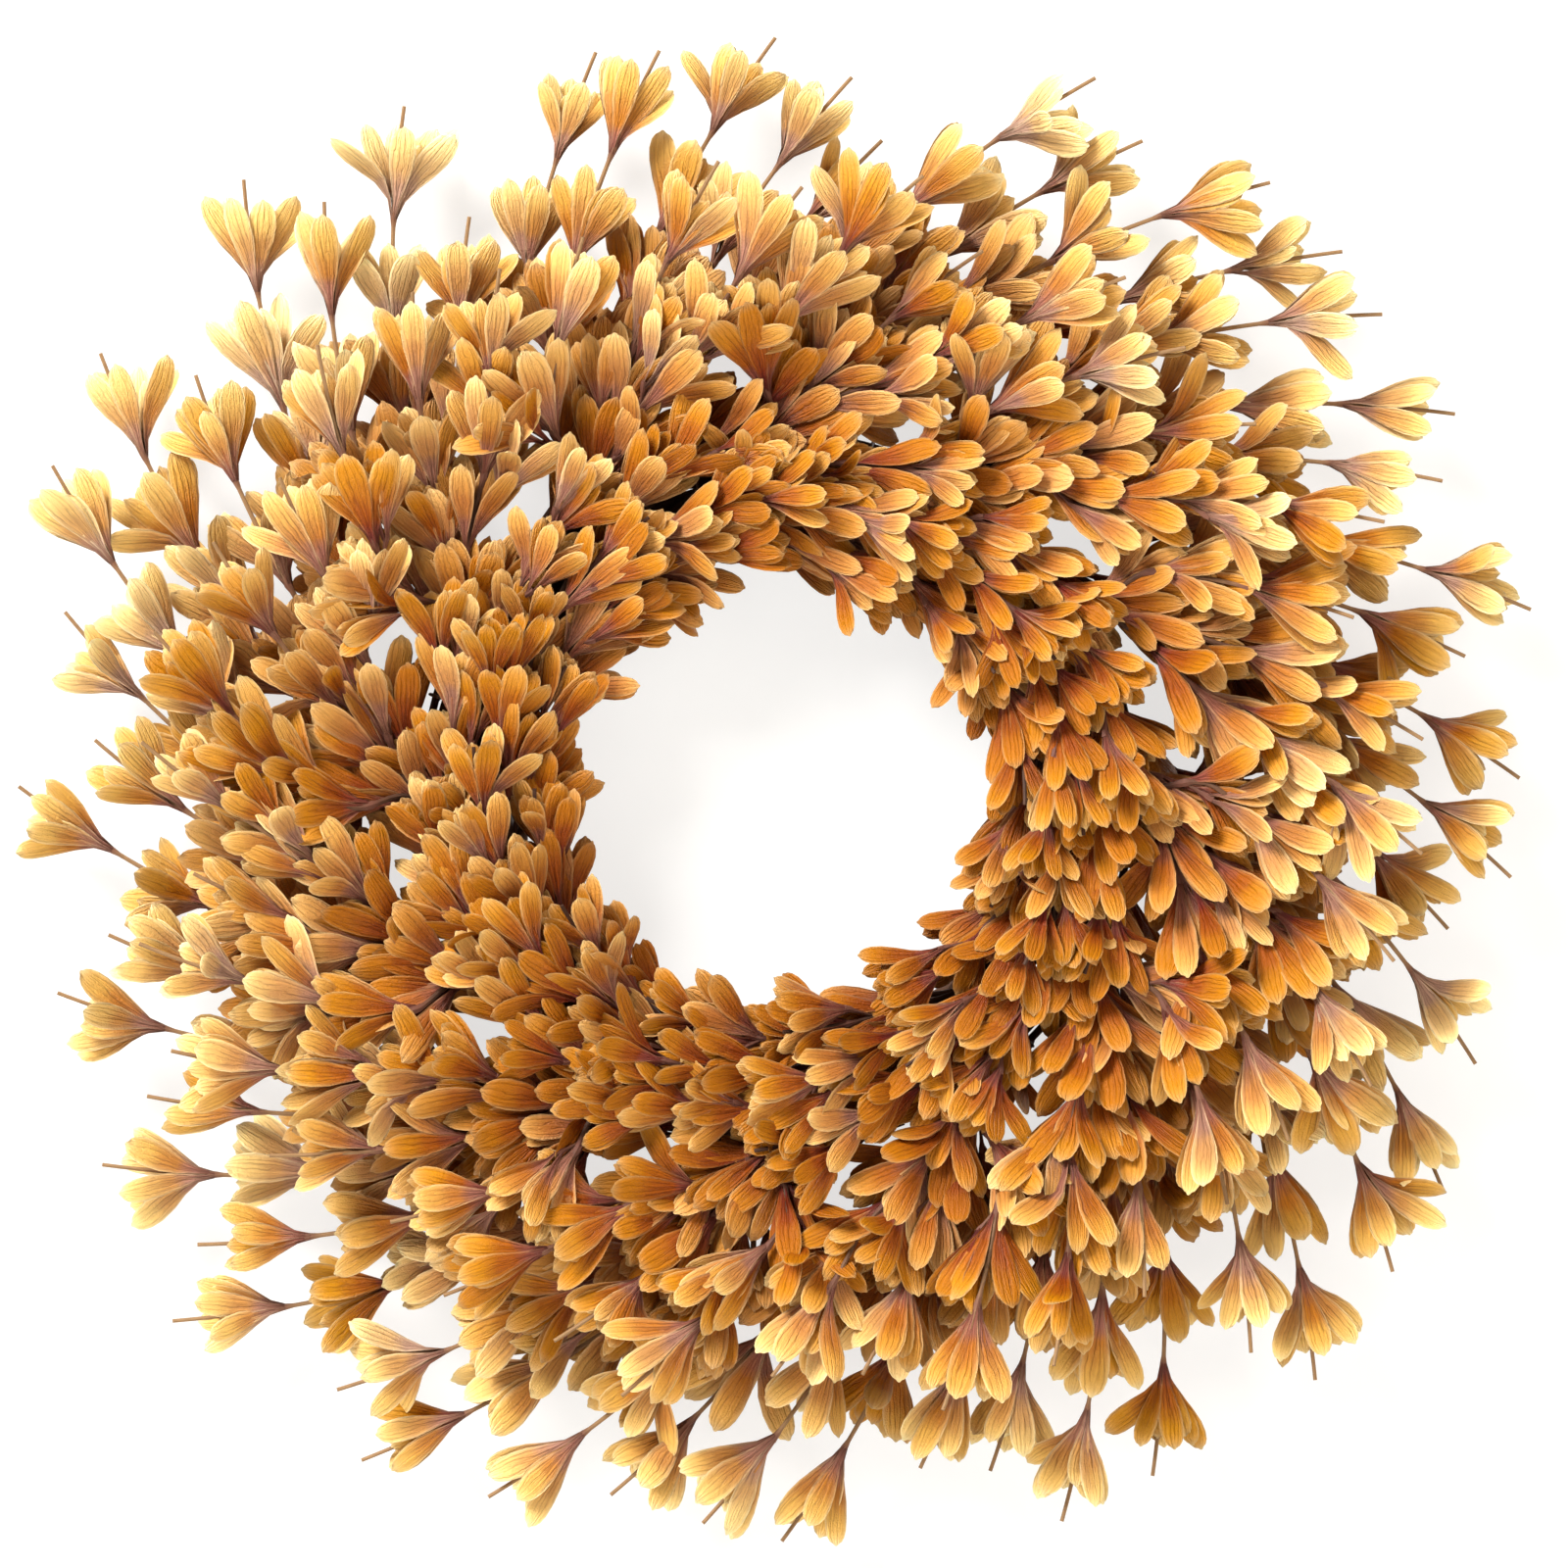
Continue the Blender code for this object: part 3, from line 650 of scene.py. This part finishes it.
def new_material(name, roughness, specular):
    """A material with one Principled shader, and its tools."""
    material = bpy.data.materials.new(name)
    material.use_nodes = True
    shader = material.node_tree.nodes["Principled BSDF"]
    shader.inputs["Roughness"].default_value = roughness
    shader.inputs["Specular IOR Level"].default_value = specular
    add, link = nodes_of(material.node_tree)
    return material, shader, add, link


def new_group(name, inputs, outputs):
    """A node group with these named sockets; each is given as name: (kind, default)."""
    group = bpy.data.node_groups.new(name, "ShaderNodeTree")
    for label, (kind, value) in inputs.items():
        socket = group.interface.new_socket(label, in_out="INPUT", socket_type="NodeSocket" + kind)
        if value is not None:
            socket.default_value = value
    for label, kind in outputs.items():
        group.interface.new_socket(label, in_out="OUTPUT", socket_type="NodeSocket" + kind)
    add, link = nodes_of(group)
    return group, add("NodeGroupInput"), add("NodeGroupOutput"), add, link


def ramp(add, stops):
    """A colour ramp with stops of (place, colour)."""
    node = add("ShaderNodeValToRGB")
    node.color_ramp.interpolation = "EASE"
    while len(node.color_ramp.elements) < len(stops):
        node.color_ramp.elements.new(0.5)
    for element, (place, colour) in zip(node.color_ramp.elements, stops):
        element.position = place
        element.color = (*colour, 1)
    return node


def node_among(values, kind):
    """A new node in the tree that the sockets among these values belong to."""
    tree = next(value.id_data for value in values if isinstance(value, bpy.types.NodeSocket))
    return tree.nodes.new(kind)


def feed(sockets, values):
    """Gives each socket its value, which may be another socket, a colour, a number or None."""
    for socket, value in zip(sockets, values):
        if isinstance(value, bpy.types.NodeSocket):
            socket.id_data.links.new(value, socket)
        elif isinstance(value, tuple):
            socket.default_value = (*value, 1)
        elif value is not None:
            socket.default_value = value


def maths(operation, first, second=None, third=None, clamp=False):
    """The result of one operation on sockets and numbers, as a socket."""
    values = (first, second, third)
    node = node_among(values, "ShaderNodeMath")
    node.operation = operation
    node.use_clamp = clamp
    feed(node.inputs, values)
    return node.outputs[0]


def mixed(factor, first, second, blend="MIX"):
    """Two colours mixed by a factor; each may be a socket or a constant."""
    values = (factor, first, second)
    node = node_among(values, "ShaderNodeMix")
    node.data_type = "RGBA"
    node.blend_type = blend
    node.clamp_factor = True
    feed((node.inputs[0], node.inputs[6], node.inputs[7]), values)
    return node.outputs[2]


def stretched_noise(add, link, place, scale, **settings):
    """A noise over places that are first scaled by different amounts along each axis."""
    stretched = add("ShaderNodeMapping", vector_type="POINT")
    stretched.inputs["Scale"].default_value = scale
    link(place, stretched.inputs["Vector"])
    noise = add("ShaderNodeTexNoise", Scale=1.0, **settings)
    link(stretched.outputs[0], noise.inputs["Vector"])
    return noise.outputs[0]


def petal_veins_group():
    """Veins that run up a petal: lines at constant U, waved by noise, with streaks and a midrib.

    Takes UV, how far up the petal the veins reach, how many there are and an offset for the noise,
    so that petals differ. Puts out a mask that fades with V, and a height that doesn't.
    """
    group, given, out, add, link = new_group(
        "petal veins",
        {"UV": ("Vector", None), "Reach": ("Float", 0.6), "Count": ("Float", 7.0),
         "Offset": ("Float", 0.0)},
        {"Veins": "Float", "Height": "Float"},
    )
    split = add("ShaderNodeSeparateXYZ")
    link(given.outputs["UV"], split.inputs[0])
    noise = add("ShaderNodeTexNoise", noise_dimensions="3D", Scale=2.2, Detail=3.0)
    shifted = add("ShaderNodeVectorMath", operation="ADD")
    spread = add("ShaderNodeCombineXYZ")
    link(given.outputs["Offset"], spread.inputs[2])
    link(given.outputs["UV"], shifted.inputs[0])
    link(spread.outputs[0], shifted.inputs[1])
    link(shifted.outputs[0], noise.inputs["Vector"])
    wander = maths("MULTIPLY_ADD", noise.outputs[0], 0.5, -0.25)
    across = maths("ADD", split.outputs[0], wander)
    phase = maths("MULTIPLY", across, given.outputs["Count"])
    wave = maths("PINGPONG", phase, 0.5)
    line = maths("SUBTRACT", 1.0, maths("MULTIPLY", wave, 3.6), clamp=True)
    line = maths("POWER", line, 1.25)
    fade = maths("DIVIDE", split.outputs[1], given.outputs["Reach"])
    fade = maths("SUBTRACT", 1.0, fade, clamp=True)
    fade = maths("POWER", fade, 0.5)
    streak = stretched_noise(add, link, shifted.outputs[0], (9.0, 1.3, 1.0), Detail=2.0)
    streak = maths("MULTIPLY_ADD", streak, 3.4, -1.2, clamp=True)
    line = maths("MULTIPLY", line, maths("MULTIPLY_ADD", streak, 0.55, 0.45))
    line = maths("MAXIMUM", line, maths("MULTIPLY", streak, 0.5))
    middle = maths("ABSOLUTE", maths("SUBTRACT", split.outputs[0], 0.5))
    middle = maths("SUBTRACT", 1.0, maths("MULTIPLY", middle, 16.0), clamp=True)
    middle = maths("MULTIPLY", middle, maths("SUBTRACT", 1.0, split.outputs[1]))
    line = maths("MAXIMUM", line, middle)
    link(maths("MULTIPLY", line, fade), out.inputs["Veins"])
    link(line, out.inputs["Height"])
    return group


def weathering_group():
    """Dry blotches and fine fibres in Object space: a slow noise and a fine one."""
    group, given, out, add, link = new_group(
        "dried blotches",
        {"Position": ("Vector", None), "Size": ("Float", 90.0), "Fine size": ("Float", 900.0)},
        {"Blotches": "Float", "Fine": "Float"},
    )
    slow = add("ShaderNodeTexNoise", Detail=3.0, Roughness=0.55)
    fine = add("ShaderNodeTexNoise", Detail=4.0, Roughness=0.65)
    for node, size in ((slow, "Size"), (fine, "Fine size")):
        link(given.outputs["Position"], node.inputs["Vector"])
        link(given.outputs[size], node.inputs["Scale"])
    link(slow.outputs[0], out.inputs["Blotches"])
    link(fine.outputs[0], out.inputs["Fine"])
    return group


def dried_surface(add, link, blotches, size, fine_size):
    """A surface's UV and Object places, and its blotches at these two noise sizes."""
    uv = add("ShaderNodeUVMap", uv_map="UVMap").outputs[0]
    position = add("ShaderNodeTexCoord").outputs["Object"]
    dry = add("ShaderNodeGroup", node_tree=blotches, Size=size, Fine_size=fine_size)
    link(position, dry.inputs["Position"])
    return uv, position, dry


def set_bump(add, link, shader, height, strength, distance):
    """Bumps the shader's surface by a height, at this distance in metres."""
    bump = add("ShaderNodeBump", Strength=strength, Distance=distance)
    link(height, bump.inputs["Height"])
    link(bump.outputs[0], shader.inputs["Normal"])


VEIN_COLOUR = (0.11, 0.028, 0.016)
FLECK_COLOUR = (0.2, 0.07, 0.02)
THROAT_COLOUR = (0.1, 0.034, 0.024)
# Painted shade for petals that lie deep in the wreath
PAINTED_DEPTH_SHADE = (0.66, 0.38, 0.22)  # multiplies the colour of petals that lie deep in the wreath


def petal_material(name, veins, blotches, base, body, gold, rim):
    """Dried petal: mauve-brown claw, orange body, golden end with a pale rim that is partly painted
    highlight, and dark veins; painted shade deep in the wreath and painted light on its upper side.
    """
    material, shader, add, link = new_material(name, 0.56, 0.3)
    uv, position, dry = dried_surface(add, link, blotches, 95.0, 1100.0)
    tone = add("ShaderNodeAttribute", attribute_name="tone").outputs["Fac"]
    deep = add("ShaderNodeAttribute", attribute_name="deep").outputs["Fac"]
    split = add("ShaderNodeSeparateXYZ")
    link(uv, split.inputs[0])

    moved = maths("MULTIPLY_ADD", dry.outputs["Blotches"], 0.36, -0.18)
    height = maths("ADD", split.outputs[1], moved)
    height = maths("SUBTRACT", height, maths("MULTIPLY_ADD", tone, 0.26, -0.13))
    blush = ramp(add, [(0.0, base), (0.24, base), (0.5, body), (0.88, gold)])
    link(height, blush.inputs[0])
    colour = blush.outputs[0]

    # A pale rim along the edges and the end: partly the petal's own paler edge, partly painted highlight
    edge = maths("ABSOLUTE", maths("MULTIPLY_ADD", split.outputs[0], 2.0, -1.0))
    edge = maths("POWER", edge, 3.5)
    top = maths("POWER", split.outputs[1], 9.0)
    rim_and_highlight = maths("MAXIMUM", edge, top)
    soft = maths("MULTIPLY", rim_and_highlight, 0.36)
    rim_and_highlight = maths("MULTIPLY_ADD", maths("POWER", rim_and_highlight, 3.0), 0.6, soft)
    rim_and_highlight = maths("MULTIPLY", rim_and_highlight, maths("MULTIPLY_ADD", split.outputs[1], 0.9, 0.08))
    colour = mixed(rim_and_highlight, colour, rim)

    lines = add("ShaderNodeGroup", node_tree=veins, Reach=0.9, Count=5.0)
    link(uv, lines.inputs["UV"])
    link(maths("MULTIPLY", tone, 50.0), lines.inputs["Offset"])
    colour = mixed(lines.outputs["Veins"], colour, VEIN_COLOUR)
    fine = maths("MULTIPLY_ADD", dry.outputs["Fine"], 0.5, -0.12, clamp=True)
    colour = mixed(maths("MULTIPLY", fine, 0.22), colour, FLECK_COLOUR)

    # Each petal's tone rises towards the upper side of the wreath, which is painted light, and towards
    # its rim, and turns its colour from a deep, dull one at 0 to a bright, pale one.
    painted_light_side = add("ShaderNodeMapping", vector_type="POINT")
    painted_light_side.inputs["Rotation"].default_value = (0, math.radians(28), 0)
    link(position, painted_light_side.inputs["Vector"])
    height_of = add("ShaderNodeSeparateXYZ")
    link(painted_light_side.outputs[0], height_of.inputs[0])
    tone = maths("MULTIPLY_ADD", height_of.outputs[2], 0.6, tone)
    from_centre = add("ShaderNodeVectorMath", operation="SUBTRACT")
    link(position, from_centre.inputs[0])
    from_centre.inputs[1].default_value = RING_CENTRE
    flat = add("ShaderNodeVectorMath", operation="MULTIPLY")
    link(from_centre.outputs[0], flat.inputs[0])
    flat.inputs[1].default_value = (1, 0, 1)
    radius = add("ShaderNodeVectorMath", operation="LENGTH")
    link(flat.outputs[0], radius.inputs[0])
    radius = radius.outputs["Value"]
    # Tone rises with distance out from the ring's centre: paler towards the wreath's rim
    paler_outwards = maths("MULTIPLY_ADD", radius, 3.5, -0.59)
    tone = maths("ADD", tone, maths("MAXIMUM", paler_outwards, -0.12))
    tone = maths("MINIMUM", maths("MAXIMUM", tone, 0.0), 1.15)
    own = add("ShaderNodeHueSaturation")
    link(maths("MULTIPLY_ADD", tone, 0.042, 0.48), own.inputs["Hue"])
    link(maths("MULTIPLY_ADD", tone, -0.38, 1.19), own.inputs["Saturation"])
    link(maths("MULTIPLY_ADD", tone, 0.7, 0.6), own.inputs["Value"])
    link(colour, own.inputs["Color"])
    colour = own.outputs[0]

    throat = maths("SUBTRACT", 1.0, maths("MULTIPLY", split.outputs[1], 5.5), clamp=True)
    colour = mixed(maths("MULTIPLY", throat, 0.65), colour, THROAT_COLOUR)
    # Painted shade: petals that lie deep in the wreath, by the door near the ring, are darkened
    colour = mixed(maths("MULTIPLY", deep, 0.75), colour, PAINTED_DEPTH_SHADE, "MULTIPLY")
    link(colour, shader.inputs["Base Color"])

    relief = maths("MULTIPLY_ADD", lines.outputs["Height"], -1.1, dry.outputs["Fine"])
    set_bump(add, link, shader, relief, 0.8, 0.8 * MM)
    link(maths("MULTIPLY_ADD", dry.outputs["Fine"], 0.3, 0.3), shader.inputs["Roughness"])
    return material


def stem_material(name, blotches):
    """Dry stem: nearly black brown at the ring, tan further out, mauve under each floret."""
    material, shader, add, link = new_material(name, 0.6, 0.3)
    uv, _, dry = dried_surface(add, link, blotches, 160.0, 1400.0)
    calyx = add("ShaderNodeAttribute", attribute_name="calyx").outputs["Fac"]
    outward_share = add("ShaderNodeAttribute", attribute_name="outward_share").outputs["Fac"]
    streaks = stretched_noise(add, link, uv, (9.0, 190.0, 1.0), Detail=3.0)
    # Darker towards the ring, tan further out
    place = maths("ADD", outward_share, maths("MULTIPLY_ADD", dry.outputs["Blotches"], 0.7, -0.35))
    tan = ramp(add, [
        (0.0, (0.05, 0.022, 0.012)), (0.35, (0.12, 0.055, 0.026)),
        (0.75, (0.3, 0.165, 0.075)), (1.0, (0.38, 0.23, 0.105)),
    ])
    link(place, tan.inputs[0])
    colour = mixed(maths("MULTIPLY", streaks, 0.55), tan.outputs[0], (0.09, 0.035, 0.02))
    colour = mixed(maths("MULTIPLY", calyx, 0.85), colour, (0.15, 0.055, 0.038))
    link(colour, shader.inputs["Base Color"])
    set_bump(add, link, shader, maths("ADD", streaks, dry.outputs["Fine"]), 0.6, 0.4 * MM)
    return material


def bark_material(blotches):
    """Vine bark: near-black brown with paler grey-brown ridges and fine cracks along the vine."""
    material, shader, add, link = new_material("vine bark", 0.75, 0.25)
    uv, _, dry = dried_surface(add, link, blotches, 70.0, 900.0)
    cracks = stretched_noise(add, link, uv, (14.0, 70.0, 1.0), Detail=5.0, Roughness=0.7)
    tan = ramp(add, [
        (0.25, (0.028, 0.013, 0.008)), (0.5, (0.085, 0.04, 0.022)), (0.78, (0.2, 0.12, 0.075)),
    ])
    link(cracks, tan.inputs[0])
    colour = mixed(maths("MULTIPLY", dry.outputs["Blotches"], 0.6), tan.outputs[0], (0.045, 0.02, 0.012))
    link(colour, shader.inputs["Base Color"])
    relief = maths("MULTIPLY_ADD", dry.outputs["Fine"], 0.4, cracks)
    set_bump(add, link, shader, relief, 0.8, 0.8 * MM)
    return material


def wire_material(name, blotches, bright, dull, metallic, roughness):
    """Drawn wire: fine lines along it, dull patches where it has been handled or has rusted."""
    material, shader, add, link = new_material(name, roughness, 0.5)
    shader.inputs["Metallic"].default_value = metallic
    uv, _, dry = dried_surface(add, link, blotches, 260.0, 1500.0)
    patches = ramp(add, [(0.42, (0, 0, 0)), (0.66, (1, 1, 1))])
    link(dry.outputs["Blotches"], patches.inputs[0])
    link(mixed(patches.outputs[0], bright, dull), shader.inputs["Base Color"])
    link(maths("MULTIPLY_ADD", patches.outputs[0], 0.3, roughness), shader.inputs["Roughness"])
    lines = stretched_noise(add, link, uv, (24.0, 60.0, 1.0), Detail=2.0)
    set_bump(add, link, shader, lines, 0.3, 0.1 * MM)
    return material


# ---------------------------------------------------------------- the wreath

def finish_piece(piece, material, body, slot_name, *nodes):
    """Gives a piece its material and its body, and hides the nodes that it stands for; slot_name is not
    used.
    """
    piece.data.materials.append(material)
    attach(piece, body)
    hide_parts(*nodes)


def depth_shade_in_fan(place):
    """How deep a floret lies in the wreath, which sets the painted shade on its petals: 1 by the door near
    the ring, 0 in front or at the tips.
    """
    out = math.hypot(place[0] - RING_CENTRE[0], place[2] - RING_CENTRE[2])
    return float(smooth((place[1] + 66 * MM) / (46 * MM)) * (1 - smooth((out - 165 * MM) / (60 * MM))))


# What a family's florets look like: petal length, then the spacing of the stalked florets, how far
# from root and end they stop, and how far they turn aside in degrees
OUTER_LOOK = (36 * MM, (24 * MM, 8 * MM, 112 * MM, 15, 95))
FRONT_LOOK = (36.5 * MM, (25 * MM, 8 * MM, 66 * MM, 60, 150))
INNER_LOOK = (32 * MM, (30 * MM, 8 * MM, 26 * MM, 45, 115))


def make_wreath():
    """All the pieces of the wreath, in their materials and on their bodies."""
    veins, blotches = petal_veins_group(), weathering_group()
    gold = petal_material(
        "petal gold", veins, blotches,
        (0.42, 0.165, 0.12), (0.6, 0.215, 0.022), (0.86, 0.46, 0.075), (1.0, 0.82, 0.46),
    )
    amber = petal_material(
        "petal amber", veins, blotches,
        (0.36, 0.13, 0.092), (0.54, 0.175, 0.016), (0.81, 0.385, 0.05), (0.99, 0.76, 0.38),
    )
    stems = stem_material("dry stem", blotches)
    bark = bark_material(blotches)
    tie = wire_material("tie wire", blotches, (0.1, 0.055, 0.035), (0.05, 0.03, 0.022), 0.0, 0.5)
    steel = wire_material("loop wire", blotches, (0.5, 0.47, 0.43), (0.22, 0.16, 0.12), 1.0, 0.34)

    for number in range(STATIONS):
        for family, twigs, (size, fill), slot_name, petal in (
            ("outer", outer_twigs(number), OUTER_LOOK, "petal_gold", gold),
            ("front", front_twigs(number), FRONT_LOOK, "petal_gold", amber),
            ("inner", inner_twigs(number), INNER_LOOK, "petal_amber", amber),
        ):
            draw = np.random.default_rng([number, len(family), ord(family[0])])
            node = f"{family}_pick_{number + 1:02d}"
            florets = florets_on(twigs, size, draw, fill)
            blooms = florets_piece(f"{family}_florets_{number + 1:02d}", florets, draw)
            finish_piece(blooms, petal, "wreath", slot_name, node)
            twiggy = stems_piece(f"{family}_stems_{number + 1:02d}", twigs, florets)
            finish_piece(twiggy, stems, "wreath", slot_name, node)
        finish_piece(tie_piece(number), tie, "wreath", "tie_wire", f"tie_wire_{number + 1:02d}")
    for number in range(WRAP_VINES + 1):
        node = f"vine_{number}" if number else "vine_core"
        finish_piece(vine_piece(number), bark, "wreath", "vine_bark", node)
    finish_piece(loop_piece(), steel, "loop", "loop_wire", "hanging_loop")


# ---------------------------------------------------------------- backdrop, light and camera

def plain_material(name, colour, glow=0.0, one_sided=False):
    """A plain matt colour that glows for the camera only; one_sided shows nothing from behind."""
    material, shader, add, link = new_material(name, 0.9, 0.1)
    shader.inputs["Base Color"].default_value = (*colour, 1)
    shader.inputs["Emission Color"].default_value = (1, 0.995, 0.985, 1)
    seen = add("ShaderNodeLightPath").outputs["Is Camera Ray"]
    link(maths("MULTIPLY", seen, glow), shader.inputs["Emission Strength"])
    if one_sided:
        clear = add("ShaderNodeBsdfTransparent")
        mix = add("ShaderNodeMixShader")
        link(add("ShaderNodeNewGeometry").outputs["Backfacing"], mix.inputs[0])
        link(shader.outputs[0], mix.inputs[1])
        link(clear.outputs[0], mix.inputs[2])
        link(mix.outputs[0], material.node_tree.nodes["Material Output"].inputs["Surface"])
    return material


def flat_sheet(name, corners, material):
    """A sheet of the stage, which casts no shadow."""
    mesh = bpy.data.meshes.new(name)
    mesh.from_pydata(corners, [], [(0, 1, 2, 3)])
    mesh.materials.append(material)
    sheet = bpy.data.objects.new(name, mesh)
    sheet.visible_shadow = False
    bpy.context.scene.collection.objects.link(sheet)


def lamp(name, place, target, size, power, colour=(1, 1, 1)):
    """A round area light at a place, aimed at a target, with its width in metres."""
    light = bpy.data.lights.new(name, "AREA")
    light.shape = "DISK"
    light.size = size
    light.energy = power
    light.color = colour
    made = bpy.data.objects.new(name, light)
    bpy.context.scene.collection.objects.link(made)
    made.location = place
    made.rotation_euler = (Vector(target) - Vector(place)).to_track_quat("-Z", "Y").to_euler()


STAGE_FLOOR = -0.75
STAGE_TOP = 2.4
BACKDROP_HALF_WIDTH = 3
FLOOR_HALF_WIDTH = 4
CAMERA_DISTANCE = 2.0


def make_stage():
    """White backdrop and floor, a warm world, three lights and the camera."""
    wide, deep = BACKDROP_HALF_WIDTH, FLOOR_HALF_WIDTH
    flat_sheet("backdrop", [
        (-wide, WALL_PLACE, STAGE_FLOOR), (wide, WALL_PLACE, STAGE_FLOOR),
        (wide, WALL_PLACE, STAGE_TOP), (-wide, WALL_PLACE, STAGE_TOP),
    ], plain_material("backdrop white", (0.34, 0.34, 0.34), 0.71, True))
    flat_sheet("floor", [
        (-deep, -deep, STAGE_FLOOR), (deep, -deep, STAGE_FLOOR),
        (deep, deep, STAGE_FLOOR), (-deep, deep, STAGE_FLOOR),
    ], plain_material("floor white", (0.86, 0.86, 0.85)))
    world = bpy.data.worlds.new("studio")
    bpy.context.scene.world = world
    world.use_nodes = True
    sky = world.node_tree.nodes["Background"]
    add, link = nodes_of(world.node_tree)
    seen = add("ShaderNodeLightPath").outputs["Is Camera Ray"]
    link(mixed(seen, (1, 0.85, 0.66), (1, 1, 1)), sky.inputs["Color"])
    link(maths("MULTIPLY_ADD", seen, 0.63, 0.32), sky.inputs["Strength"])
    middle = (0, 0, -0.157)
    lamp("key", (-1.45, -1.7, 1.5), middle, 1.3, 144, (1, 0.985, 0.955))
    lamp("back", (1.2, 2.0, 1.1), middle, 1.6, 46)
    lamp("fill", (1.9, -1.9, 0.5), middle, 1.6, 22, (1, 0.9, 0.77))

    camera = bpy.data.cameras.new("camera")
    camera.lens = 122
    camera.sensor_width = 36
    made = bpy.data.objects.new("camera", camera)
    bpy.context.scene.collection.objects.link(made)
    target = Vector((0.002, 0, -0.155))
    made.location = target + Vector((0, -CAMERA_DISTANCE, 0))
    made.rotation_euler = (target - made.location).to_track_quat("-Z", "Y").to_euler()
    bpy.context.scene.camera = made
    bpy.context.scene.view_settings.view_transform = "Standard"


make_stage()
make_wreath()
